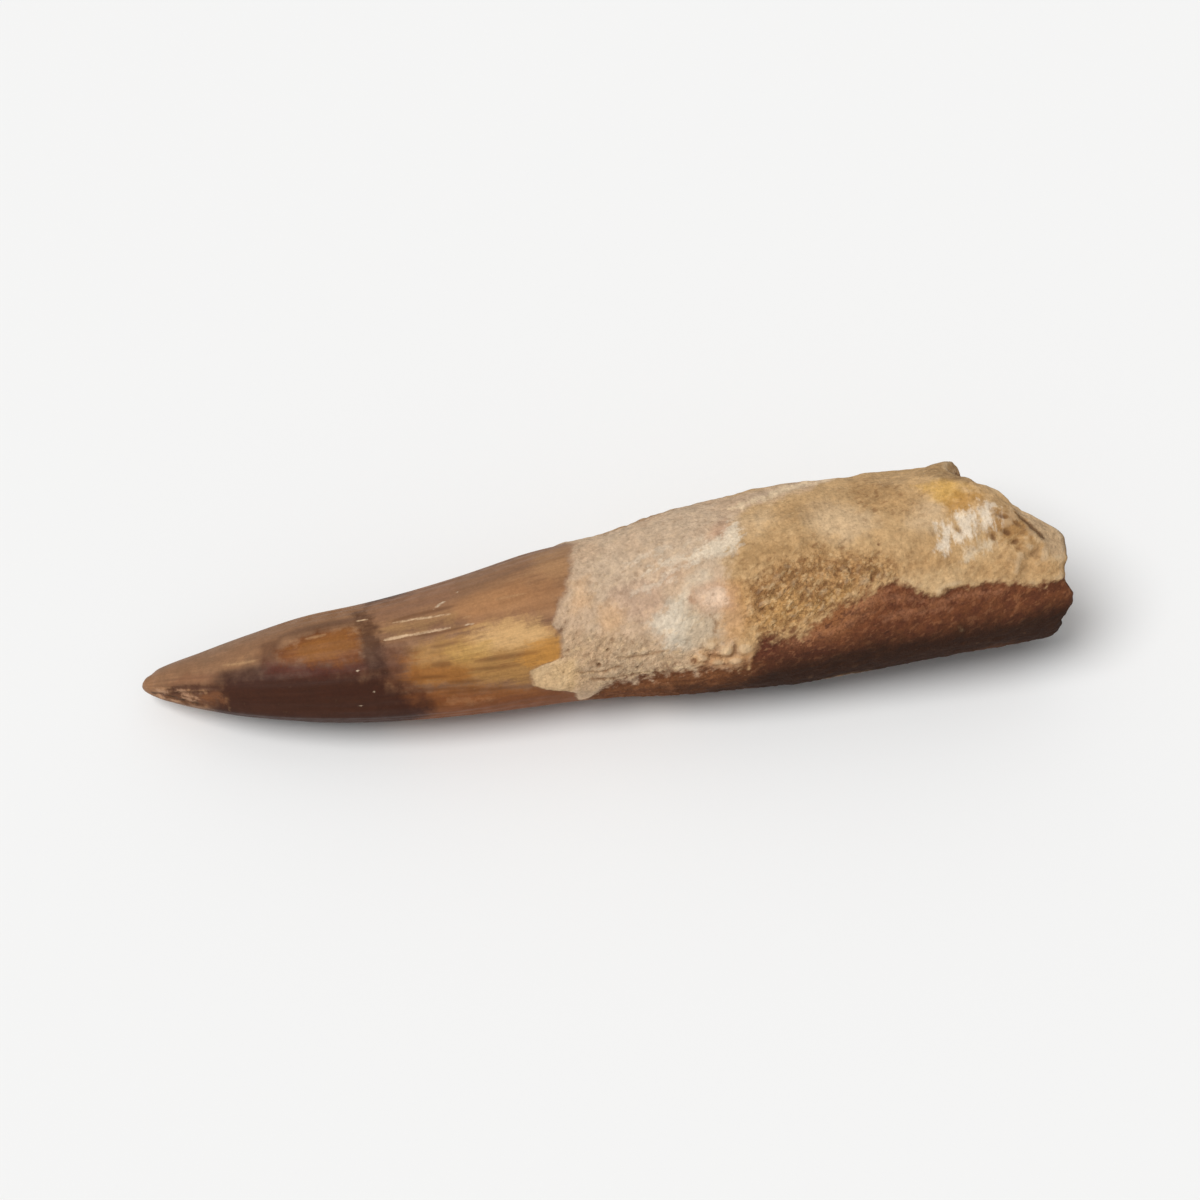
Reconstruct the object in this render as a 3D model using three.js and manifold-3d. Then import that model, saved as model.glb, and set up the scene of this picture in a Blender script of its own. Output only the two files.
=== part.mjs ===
// A fossil spinosaurus tooth, one solid: a slightly curved conical crown on a thicker root whose end is broken off
// ragged. It lies on its side along X, tip at -X, on a small flat worn spot. Millimetres, +Z up; the origin is on the
// floor, under the middle of the tooth.
import * as THREE from "three";
import { mergeVertices } from "three/addons/utils/BufferGeometryUtils.js";
import Module from "manifold-3d";

const wasm = await Module();
wasm.setup();

// Driving sizes.
const CROWN_LENGTH = 66; // tip to the edge of the crust on the root
const ROOT_END = 138; // tip to the mean plane of the broken end
const OVAL_CROWN = 0.9; // height over width, lying down
const OVAL_ROOT = 0.85;
const CRUST_STEP = 0.45; // how far the sandy crust stands proud of the enamel
const CARINA_HEIGHT = 0.35; // the two keels along the crown's edges
const CARINA_WIDTH = 0.16; // radians
const REST_AT = 88; // the underside is lowest here, under the centre of mass
const TIP_LIFT = 3.6; // the tip's underside is this far above that
const END_LIFT = 2.0; // and the broken end's this far
const REST_CUT = 0.25; // depth of the flat spot that it rests on

// The broken end: its rim stands RIM_BEYOND past ROOT_END, except where a bite is out of its back wall.
const RIM_BEYOND = 3.5;
const BITE_DEPTH = 14;
const BITE_ANGLE = 0.25; // radians from +Y towards the top
const BITE_INNER = 0.65; // the bite is full depth up to this angle from its middle
const BITE_OUTER = 1.7; // and it ends here
const CORE_INSET = 4; // the middle of the break lies this far inside ROOT_END
const HOLLOW_DEPTH = 3; // the pulp hollow, deeper again than that
const HOLLOW_RADIUS = 0.5; // share of the root's radius
const END_BLEND = 34; // the wall follows the ragged rim over this length

// Half width of the tooth along its length: distance from the tip, half width.
const PROFILE = [
  [0, 0],
  [0.3, 0.8],
  [1.3, 1.75],
  [4, 2.95],
  [9, 4.6],
  [16, 6.5],
  [25, 8.2],
  [35, 9.4],
  [47, 10.7],
  [60, 12.1],
  [72, 12.9],
  [85, 14.5],
  [97, 15.4],
  [110, 15.4],
  [124, 15.2],
  [134, 15.0],
  [ROOT_END, 14.4],
];
// The centre line's sideways bow: distance from the tip, offset along Y. The crown curves, the root is nearly straight.
const BOW = [
  [0, -1.7],
  [1.2, -2.3],
  [4, -2.9],
  [9, -3.8],
  [16, -4.6],
  [27, -5.4],
  [38, -5.5],
  [50, -4.8],
  [65, -3.2],
  [85, -2.1],
  [105, -1.5],
  [ROOT_END, 0.1],
];

// Mesh density.
const AROUND = 44;
const WALL_STEPS = 62;
const END_STEPS = 7;
const TIP_CROWDING = 1.6; // steps are closer together near the tip

const smooth = THREE.MathUtils.smoothstep;
const lerp = THREE.MathUtils.lerp;

// A smooth curve through [x, y] points, with slopes taken between each point's neighbours.
function curveThrough(points) {
  const slope = points.map((_, i) => {
    const [x0, y0] = points[Math.max(i - 1, 0)];
    const [x1, y1] = points[Math.min(i + 1, points.length - 1)];
    return (y1 - y0) / (x1 - x0);
  });
  return (x) => {
    let i = points.findIndex(([px]) => px > x) - 1;
    if (i < 0) i = points.length - 2;
    const [x0, y0] = points[i];
    const [x1, y1] = points[i + 1];
    const w = x1 - x0;
    const t = THREE.MathUtils.clamp((x - x0) / w, 0, 1);
    const h = t * t * (3 - 2 * t);
    const bend = slope[i] * t * (1 - t) ** 2 - slope[i + 1] * t * t * (1 - t);
    return lerp(y0, y1, h) + w * bend;
  };
}

const bow = curveThrough(BOW);
const halfWidth = curveThrough(PROFILE);

// Height over width of the section at a distance from the tip.
const ovalAt = (x) => lerp(OVAL_CROWN, OVAL_ROOT, smooth(x, 40, 100));

// Where the ragged rim of the broken end lies round the root, relative to ROOT_END. Angle 0 is +Y, a quarter turn up.
function rimOffset(angle) {
  const turn = 2 * Math.PI;
  const wrapped = THREE.MathUtils.euclideanModulo(angle - BITE_ANGLE + turn / 2, turn);
  const fromBite = Math.abs(wrapped - turn / 2);
  const bite = BITE_DEPTH * (1 - smooth(fromBite, BITE_INNER, BITE_OUTER));
  const ragged =
    0.6 * Math.sin(3 * angle + 0.6) +
    0.6 * Math.sin(5 * angle - 1.1) +
    0.4 * Math.sin(9 * angle + 2.0);
  return RIM_BEYOND - bite + ragged;
}

// The broken face: its offset from ROOT_END at an angle and a share of the root's radius.
function breakOffset(angle, share) {
  const hollow = HOLLOW_DEPTH * (1 - smooth(share, HOLLOW_RADIUS * 0.6, HOLLOW_RADIUS * 1.5));
  return lerp(-CORE_INSET, rimOffset(angle), share ** 1.5) - hollow;
}

// Broad swellings and hollows of the surface, in millimetres of radius. They are faint on the underside.
function lumps(x, angle) {
  const root = smooth(x, 45, 90);
  const calm = 1 - 0.8 * Math.max(-Math.sin(angle), 0);
  return (
    calm *
    ((0.1 + 0.2 * root) * Math.sin(2 * angle + x / 13) +
      (0.08 + 0.17 * root) * Math.sin(3 * angle - x / 8.5 + 1.2) +
      0.15 * root * Math.sin(5 * angle + x / 5.2 + 0.4))
  );
}

// The crust's uneven edge runs round the tooth near CROWN_LENGTH.
const crustEdge = (angle) =>
  CROWN_LENGTH + 1.4 * Math.sin(angle + 2.4) + 2.1 * Math.sin(2 * angle - 0.3);

// The crown's two keels, on its +Y and -Y edges, fading out on the root.
function carinae(x, angle) {
  const away = Math.asin(Math.abs(Math.sin(angle)));
  const ridge = Math.exp(-((away / CARINA_WIDTH) ** 2));
  return CARINA_HEIGHT * ridge * smooth(x, 3, 20) * (1 - smooth(x, 45, CROWN_LENGTH));
}

// How far the underside stands above its lowest point, at a distance from the tip.
function liftAt(x) {
  if (x < REST_AT) return TIP_LIFT * (1 - x / REST_AT) ** 2;
  return END_LIFT * ((x - REST_AT) / (ROOT_END - REST_AT)) ** 2;
}

// The lathe's outline: down the wall from the tip to the root's end, then straight in to the axis.
function outline() {
  const points = [new THREE.Vector2(0, 0)];
  for (let i = 1; i <= WALL_STEPS; i++) {
    const x = ROOT_END * (i / WALL_STEPS) ** TIP_CROWDING;
    points.push(new THREE.Vector2(halfWidth(x), x));
  }
  for (let i = 1; i <= END_STEPS; i++) {
    points.push(new THREE.Vector2(halfWidth(ROOT_END) * (1 - i / END_STEPS), ROOT_END));
  }
  return points;
}

// Turns the round lathe shape into the tooth: along X, oval, bowed, lumpy, ragged at the end.
function shape(geometry) {
  const position = geometry.getAttribute("position");
  for (let i = 0; i < position.count; i++) {
    const x = position.getY(i);
    const across = position.getZ(i);
    const up = position.getX(i);
    const r = Math.hypot(across, up);
    const angle = Math.atan2(up, across);
    const share = r > 0 ? Math.min(1, r / halfWidth(x)) : 0;
    const crust = CRUST_STEP * smooth(x - crustEdge(angle), -0.8, 0.8);
    const relief = smooth(r, 0, 4) * lumps(x, angle) + carinae(x, angle) + crust;
    const grown = r + share * relief;
    const nearEnd = smooth(x, ROOT_END - END_BLEND, ROOT_END - 6);
    const middle = ovalAt(x) * halfWidth(x) + liftAt(x) - REST_CUT;
    position.setXYZ(
      i,
      x + nearEnd * breakOffset(angle, share),
      bow(x) + grown * Math.cos(angle),
      middle + ovalAt(x) * grown * Math.sin(angle),
    );
  }
}

// A closed geometry as a manifold solid.
function solidOf(geometry) {
  const bare = geometry.clone();
  bare.deleteAttribute("normal");
  bare.deleteAttribute("uv");
  const merged = mergeVertices(bare, 1e-4);
  return new wasm.Manifold(
    new wasm.Mesh({
      numProp: 3,
      vertProperties: merged.getAttribute("position").array,
      triVerts: new Uint32Array(merged.index.array),
    }),
  );
}

function geometryOf(solid) {
  const mesh = solid.getMesh();
  const geometry = new THREE.BufferGeometry();
  geometry.setAttribute("position", new THREE.BufferAttribute(mesh.vertProperties, 3));
  geometry.setIndex(new THREE.BufferAttribute(mesh.triVerts, 1));
  geometry.computeVertexNormals();
  return geometry;
}

// The tooth, with all that would reach below the floor cut off flat: its rest.
function toothGeometry() {
  const lathe = new THREE.LatheGeometry(outline(), AROUND);
  shape(lathe);
  const below = new THREE.BoxGeometry(400, 200, 50);
  below.translate(0, 0, -25);
  const cut = solidOf(lathe).subtract(solidOf(below));
  const geometry = geometryOf(cut);
  geometry.computeBoundingBox();
  const middle = geometry.boundingBox.getCenter(new THREE.Vector3());
  return geometry.translate(-middle.x, -middle.y, 0);
}

const tooth = new THREE.Mesh(
  toothGeometry(),
  new THREE.MeshStandardMaterial({ color: 0x9b7550, roughness: 0.7, metalness: 0 }),
);
tooth.name = "tooth";

const group = new THREE.Group();
group.add(tooth);

export default group;
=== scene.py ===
"""The looks of a fossil spinosaurus tooth: streaked brown enamel on the crown, a sandy crust on the root."""

import itertools
import math

import bpy
import numpy as np
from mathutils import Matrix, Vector


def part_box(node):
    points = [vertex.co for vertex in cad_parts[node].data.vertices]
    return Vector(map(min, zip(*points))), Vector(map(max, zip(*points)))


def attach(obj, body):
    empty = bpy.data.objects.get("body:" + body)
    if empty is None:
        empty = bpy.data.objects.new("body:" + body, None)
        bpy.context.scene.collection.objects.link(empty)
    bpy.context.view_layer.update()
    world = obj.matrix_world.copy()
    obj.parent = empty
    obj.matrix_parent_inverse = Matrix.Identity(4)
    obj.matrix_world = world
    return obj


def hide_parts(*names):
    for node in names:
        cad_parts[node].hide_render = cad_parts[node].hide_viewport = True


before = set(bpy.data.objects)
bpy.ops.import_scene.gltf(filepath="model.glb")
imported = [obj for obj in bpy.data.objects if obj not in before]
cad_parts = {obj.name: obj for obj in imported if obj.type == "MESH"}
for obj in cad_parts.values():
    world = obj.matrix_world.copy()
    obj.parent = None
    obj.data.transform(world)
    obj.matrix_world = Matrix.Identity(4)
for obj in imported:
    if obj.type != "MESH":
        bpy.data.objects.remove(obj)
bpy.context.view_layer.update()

MM = 0.001

# ------------------------------------------------ the tooth's form, in mm, as its solid is built

CROWN_LENGTH = 66
ROOT_END = 138
OVAL_CROWN = 0.9
OVAL_ROOT = 0.85
CRUST_STEP = 0.45
CARINA_HEIGHT = 0.35
CARINA_WIDTH = 0.16  # radians
REST_AT = 88
TIP_LIFT = 3.6
END_LIFT = 2.0
REST_CUT = 0.25

RIM_BEYOND = 3.5
BITE_DEPTH = 14
BITE_ANGLE = 0.25  # radians
BITE_INNER = 0.65
BITE_OUTER = 1.7
CORE_INSET = 4
HOLLOW_DEPTH = 3
HOLLOW_RADIUS = 0.5  # share of the root's radius
END_BLEND = 34

# Distance from the tip, half width.
PROFILE = [
    (0, 0), (0.3, 0.8), (1.3, 1.75), (4, 2.95), (9, 4.6), (16, 6.5), (25, 8.2), (35, 9.4), (47, 10.7),
    (60, 12.1), (72, 12.9), (85, 14.5), (97, 15.4), (110, 15.4), (124, 15.2), (134, 15.0),
    (ROOT_END, 14.4),
]
# Distance from the tip, sideways offset of the centre line.
BOW = [
    (0, -1.7), (1.2, -2.3), (4, -2.9), (9, -3.8), (16, -4.6), (27, -5.4), (38, -5.5), (50, -4.8),
    (65, -3.2), (85, -2.1), (105, -1.5), (ROOT_END, 0.1),
]

# The visual mesh: rows along the crown and the root, rows in across the broken end, vertices round each row.
CROWN_ROWS = 98
ROOT_ROWS = 202
END_ROWS = 26
AROUND = 304

# Scratches in the crust run this way, and this share of the way along it is taken out of a place to comb it.
SLANT = np.array([0.80, 0.49, 0.34])
COMBED = 0.5

# Relief on top of the plain form.
FLUTES = 34
FLUTE_HEIGHT = 0.045
DENT_DEPTH = 0.10
CHIP_DEPTH = 0.25
CRACK_DEPTH = 0.22
SCRATCH_DEPTH = 0.05
WORN_FLAT_DEPTH = 0.6
WIDE_PIT_DEPTH = 0.26
KNOB_HEIGHT = 1.2
BUMP_HEIGHT = 0.75
HOLE_DEPTH = 0.45
RIM_CRACK_DEPTH = 0.45
PEAK_HEIGHT = 1.2
WORN_RIM_DEPTH = 1.7
ROLLED_RIM_DEPTH = 0.7
RIM_PIT_DEPTH = 1.3
STEP_HEIGHT = 1.9
CORE_DEPTH = 1.6
CORE_SIZE = 0.52  # share of the root's radius
RIM_WIDTH = 0.35  # the wall's paint reaches this far in over the rim
FARTHEST = 6  # a zone's signed distance counts no further than this

# The texture layout: the wall unrolled in the lower part, the broken face as a disc above it.
WALL_TOP = 0.8
UV_MARGIN = 0.005
DISC_MIDDLE = (0.5, 0.905)
DISC_RADIUS = 0.09


def smooth(x, low, high):
    t = np.clip((np.asarray(x, float) - low) / (high - low), 0, 1)
    return t * t * (3 - 2 * t)


def curve_through(points):
    """A smooth curve through (x, y) points, with slopes taken between each point's neighbours."""
    xs = np.array([p[0] for p in points], float)
    ys = np.array([p[1] for p in points], float)
    before = np.maximum(np.arange(len(xs)) - 1, 0)
    after = np.minimum(np.arange(len(xs)) + 1, len(xs) - 1)
    slope = (ys[after] - ys[before]) / (xs[after] - xs[before])

    def curve(x):
        i = np.clip(np.searchsorted(xs, x, side="right") - 1, 0, len(xs) - 2)
        width = xs[i + 1] - xs[i]
        t = np.clip((x - xs[i]) / width, 0, 1)
        h = t * t * (3 - 2 * t)
        bend = slope[i] * t * (1 - t) ** 2 - slope[i + 1] * t * t * (1 - t)
        return ys[i] * (1 - h) + ys[i + 1] * h + width * bend

    return curve


half_width = curve_through(PROFILE)
bow = curve_through(BOW)


def wrapped(angle):
    """An angle in radians, brought between minus and plus half a turn."""
    return (angle + math.pi) % (2 * math.pi) - math.pi


def oval_at(x):
    return OVAL_CROWN + (OVAL_ROOT - OVAL_CROWN) * smooth(x, 40, 100)


def lift_at(x):
    tip = TIP_LIFT * (1 - x / REST_AT) ** 2
    end = END_LIFT * ((x - REST_AT) / (ROOT_END - REST_AT)) ** 2
    return np.where(x < REST_AT, tip, end)


def lumps(x, angle):
    """Broad swellings and hollows, faint on the underside."""
    root = smooth(x, 45, 90)
    calm = 1 - 0.8 * np.maximum(-np.sin(angle), 0)
    return calm * (
        (0.1 + 0.2 * root) * np.sin(2 * angle + x / 13)
        + (0.08 + 0.17 * root) * np.sin(3 * angle - x / 8.5 + 1.2)
        + 0.15 * root * np.sin(5 * angle + x / 5.2 + 0.4)
    )


def carinae(x, angle):
    """The crown's two keels, on its +Y and -Y edges."""
    away = np.arcsin(np.abs(np.sin(angle)))
    ridge = np.exp(-((away / CARINA_WIDTH) ** 2))
    return CARINA_HEIGHT * ridge * smooth(x, 3, 20) * (1 - smooth(x, 45, CROWN_LENGTH))


def rim_offset(angle):
    """Where the rim of the broken end lies, relative to ROOT_END."""
    bite = BITE_DEPTH * (1 - smooth(np.abs(wrapped(angle - BITE_ANGLE)), BITE_INNER, BITE_OUTER))
    ragged = (
        0.6 * np.sin(3 * angle + 0.6) + 0.6 * np.sin(5 * angle - 1.1) + 0.4 * np.sin(9 * angle + 2.0)
    )
    return RIM_BEYOND - bite + ragged


def break_offset(angle, share):
    hollow = HOLLOW_DEPTH * (1 - smooth(share, HOLLOW_RADIUS * 0.6, HOLLOW_RADIUS * 1.5))
    return -CORE_INSET + (rim_offset(angle) + CORE_INSET) * share**1.5 - hollow


# ---------------------------------------------------------------- noise

def hashed(order, cell):
    """A number from 0 to 255 for each cell of a grid, by a shuffled order."""
    c = cell & 255
    return order[(order[(order[c[..., 0]] + c[..., 1]) & 255] + c[..., 2]) & 255]


def noise(points, size, seed):
    """Smooth gradient noise, about -1 to 1, whose bumps are about size mm across."""
    rng = np.random.RandomState(seed)
    table = rng.normal(size=(256, 3))
    table /= np.linalg.norm(table, axis=1, keepdims=True)
    order = rng.permutation(256)
    p = points / size + 0.37
    cell = np.floor(p).astype(int)
    f = p - cell
    w = f**3 * (f * (f * 6 - 15) + 10)
    total = 0
    for corner in itertools.product((0, 1), repeat=3):
        share = np.prod(np.where(corner, w, 1 - w), axis=-1)
        total = total + share * ((f - corner) * table[hashed(order, cell + corner)]).sum(-1)
    return 1.6 * total


def layered(points, size, layers, seed):
    """Noise with finer layers on top, each half as wide and half as strong."""
    parts = [noise(points, size / 2**n, seed + n) / 2**n for n in range(layers)]
    return sum(parts) / sum(0.5**n for n in range(layers)) * 1.3


def pits(points, spacing, radius, seed):
    """Depth, 0 to 1, of round pits at random places about spacing mm apart, up to radius mm across."""
    rng = np.random.RandomState(seed)
    order = rng.permutation(256)
    place = rng.uniform(0.15, 0.85, (256, 3))
    wide = rng.uniform(0.35, 1.0, 256) * radius / spacing
    p = points / spacing
    cell = np.floor(p).astype(int)
    deepest = np.zeros(points.shape[:-1])
    for step in itertools.product((-1, 0, 1), repeat=3):
        h = hashed(order, cell + step)
        away = np.linalg.norm(cell + step + place[h] - p, axis=-1)
        deepest = np.maximum(deepest, smooth(1 - away / wide[h], 0, 0.7))
    return deepest


def combed(points):
    """Points squeezed along the slant, so that noise made on them runs in strokes that way."""
    return points - COMBED * (points @ SLANT)[..., None] * SLANT


# ---------------------------------------------------------------- the grid that all fields are worked out on

def grid():
    """Distance from the tip and share of the radius, per row, and the angle round the tooth, per column."""
    crown = CROWN_LENGTH * np.linspace(0, 1, CROWN_ROWS + 1)[1:] ** 1.25
    root = np.linspace(CROWN_LENGTH, ROOT_END, ROOT_ROWS + 1)[1:]
    inward = np.linspace(1, 0, END_ROWS + 1)[1:-1]
    x = np.concatenate([crown, root, np.full(len(inward), ROOT_END)])
    share = np.concatenate([np.ones(len(crown) + len(root)), inward])
    angle = np.linspace(0, 2 * math.pi, AROUND, endpoint=False)
    return np.meshgrid(x, angle, indexing="ij") + [np.repeat(share[:, None], AROUND, axis=1)]


def base_points(x, angle, share):
    """The plain form, as the CAD solid has it, without its crust."""
    width = half_width(x)
    r = width * share
    grown = r + share * (smooth(r, 0, 4) * lumps(x, angle) + carinae(x, angle))
    near_end = smooth(x, ROOT_END - END_BLEND, ROOT_END - 6)
    middle = oval_at(x) * width + lift_at(x) - REST_CUT
    return np.stack(
        [
            x + near_end * break_offset(angle, share),
            bow(x) + grown * np.cos(angle),
            middle + oval_at(x) * grown * np.sin(angle),
        ],
        axis=-1,
    )


def normals(points):
    along = np.gradient(points, axis=0)
    around = np.roll(points, -1, axis=1) - np.roll(points, 1, axis=1)
    out = np.cross(around, along)
    return out / np.maximum(np.linalg.norm(out, axis=-1, keepdims=True), 1e-9)


X, ANGLE, SHARE = grid()
BASE = base_points(X, ANGLE, SHARE)
OUT = normals(BASE)
TURN = np.degrees(ANGLE)
ON_END = SHARE < 1


# ------------------------------------------------ zones, as signed distances in mm, positive inside

def spot(x, turn, length, width, tilt=0):
    """An oval patch round a point given as mm from the tip and degrees round the tooth."""
    along = X - x
    across = wrapped(ANGLE - math.radians(turn)) * half_width(np.array(float(x)))
    c, s = math.cos(math.radians(tilt)), math.sin(math.radians(tilt))
    u = (along * c + across * s) / length
    v = (across * c - along * s) / width
    return min(length, width) * (1 - np.hypot(u, v))


def spots(*each):
    """The union of several oval patches."""
    return np.max([spot(*one) for one in each], axis=0)


def patch(*corners):
    """A many-sided patch whose corners are given as mm from the tip and degrees round the tooth."""
    xs = np.array([c[0] for c in corners], float)
    middle = np.mean([c[1] for c in corners])
    radius = half_width(xs.mean())
    ys = np.radians([c[1] - middle for c in corners]) * radius
    px, py = X, wrapped(ANGLE - math.radians(middle)) * radius
    nearest = np.full(X.shape, np.inf)
    inside = np.zeros(X.shape, bool)
    for x0, y0, x1, y1 in zip(xs, ys, np.roll(xs, -1), np.roll(ys, -1)):
        dx, dy = x1 - x0, y1 - y0
        t = np.clip(((px - x0) * dx + (py - y0) * dy) / (dx * dx + dy * dy), 0, 1)
        nearest = np.minimum(nearest, np.hypot(px - x0 - t * dx, py - y0 - t * dy))
        crosses = (y0 > py) != (y1 > py)
        inside ^= crosses & (px < x0 + (py - y0) * dx / (dy if dy else 1e-9))
    return np.where(inside, nearest, -nearest)


def patches(*each):
    """The union of several many-sided patches."""
    return np.max([patch(*one) for one in each], axis=0)


def below(edge):
    """How far down the camera's side of a line of (mm from the tip, degrees) points a place lies."""
    line = np.radians(np.interp(X, [p[0] for p in edge], [p[1] for p in edge]))
    return wrapped(ANGLE - line) * half_width(X)


def stroke(half, *points):
    """A brush stroke through points, half its width given, pointed at both ends."""
    middle = np.mean([p[1] for p in points])
    radius = half_width(np.array(float(np.mean([p[0] for p in points]))))
    across = wrapped(ANGLE - math.radians(middle)) * radius
    marks = [(s, math.radians(turn - middle) * radius) for s, turn in points]
    steps = len(marks) - 1
    field = np.full(X.shape, -np.inf)
    for n, ((x0, y0), (x1, y1)) in enumerate(zip(marks, marks[1:])):
        dx, dy = x1 - x0, y1 - y0
        t = np.clip(((X - x0) * dx + (across - y0) * dy) / (dx * dx + dy * dy), 0, 1)
        wide = half * np.sqrt(1 - (2 * (n + t) / steps - 1) ** 2)
        field = np.maximum(field, wide - np.hypot(X - x0 - t * dx, across - y0 - t * dy))
    return field


def strokes(*each):
    """The union of several strokes."""
    return np.max([stroke(*one) for one in each], axis=0)


def crust_zone():
    """The crust, past a ragged edge given as degrees round the tooth and mm from the tip."""
    edge = [
        (-70, 65.4), (-52, 63.2), (-40, 64.8), (-22, 68.6), (-6, 69), (12, 65.4), (24, 64.6), (38, 67.4),
        (52, 68.2), (82, 66.6), (96, 65.8), (104, 65), (112, 64), (120, 63.4), (128, 64.2), (145, 64.2),
        (148, 61.4), (151, 59.4), (166, 59.4), (172, 61), (177, 63.6), (182, 65.4), (200, 66.8),
        (211, 67.8), (225, 69.5), (250, 67), (270, 64.6), (290, 65.4),
    ]
    turn = (TURN + 70) % 360 - 70
    main = X - np.interp(turn, [p[0] for p in edge], [p[1] for p in edge])
    ragged = main + 0.45 * layered(BASE, 2.6, 3, 11) + 0.8 * noise(BASE, 5, 13) * smooth(-main, -9, 0)
    blurred = 1 - smooth(TURN, 95, 112)
    return ragged * (1 - 0.5 * blurred)


def bare_zone():
    """The belly of the root, where no crust covers the dark dentine."""
    top = [
        (66, 212), (69.9, 179), (72.8, 172), (78, 168), (82, 169), (86, 166), (89.5, 170), (92.2, 168),
        (92.9, 159), (93.6, 152), (95.4, 148.6), (98, 149), (100.6, 149), (102, 143.5), (104.5, 137.4),
        (107.3, 133.8), (110.2, 130.3), (111.8, 126.7), (113, 125.5), (114.5, 127.9), (115.9, 132.6),
        (117.7, 136.2), (119.8, 137.4), (122, 135), (127, 137), (132, 142), (138, 144),
    ]
    bottom = [(66, 215), (74, 262), (84, 292), (98, 306), (116, 299), (138, 312)]
    inside = np.minimum(np.minimum(below(top), -below(bottom)), X - 67)
    sharp = 0.35 + 0.65 * smooth(X, 110, 114)
    ragged = 0.3 + 0.5 * smooth(X, 86, 92)
    return (inside + ragged * layered(BASE, 2.6, 3, 12)) * sharp


CRUST = crust_zone()
BARE = bare_zone()
COVER = smooth(CRUST, -0.15, 0.45) * (1 - smooth(BARE, -0.6, 0.4))


def dark_enamel():
    """The crown's dark stains: its lower front, a band above it and lines along it."""
    return {
        "chocolate": patch(
            (11.4, 139), (11.4, 128), (12.6, 121), (14.4, 117), (17, 118), (19.4, 115.6), (22, 117),
            (24, 120), (26.3, 118), (28.6, 119), (31.4, 124), (34.3, 128), (36.8, 127), (38, 138),
            (39.6, 150), (41.2, 160), (43.6, 166), (44.6, 178), (43, 194), (38, 225), (34, 256),
            (22, 268), (11, 262), (10, 210), (10.4, 170),
        ),
        "halo": patch(
            (12, 119), (13.8, 109), (16, 108), (20, 106), (21.5, 112), (26, 119), (37, 118), (38, 132),
            (28, 130), (20, 126), (12, 126),
        ),
        "under_amber": patch(
            (20, 108), (22.4, 113), (25, 116), (29, 121), (34, 118), (34.6, 127), (28, 128), (20, 122),
        ),
        "dark_band": patch(
            (33.6, 62), (35.2, 62), (36.8, 84), (37.6, 101), (37.6, 130), (34.2, 128), (34.4, 92),
        ),
        "dark_red": patch(
            (36.6, 108), (40, 111), (41.4, 118), (41.2, 130), (42.4, 143), (43.2, 158), (38.4, 150),
            (36, 134),
        ),
        "left_red": patch((19.4, 80), (22, 80), (22.4, 96), (21.8, 112), (19.6, 113), (18.4, 98)),
        "above_amber": strokes((0.8, (22, 76), (27, 74), (34, 72)), (0.5, (26, 81), (31, 76), (34, 79))),
        "dark_lines": strokes(
            (0.28, (44.4, 117), (46.4, 117.6), (49, 117)), (0.35, (51, 135), (55, 136), (61, 137.6)),
            (0.5, (44.4, 132), (46, 132.6), (47.8, 134)), (0.3, (46.5, 149), (52, 152.6)),
            (0.35, (45, 160), (51, 161.4), (57.4, 165)), (0.3, (43, 154), (47, 156), (52, 160)),
            (0.25, (41.6, 141), (44, 142), (47, 144)), (0.3, (50, 141), (54, 143.4), (58, 145)),
            (0.25, (42, 104.8), (47, 106.4), (51, 107)), (0.3, (39, 86), (43, 84.6), (49, 85)),
        ),
    }


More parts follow.
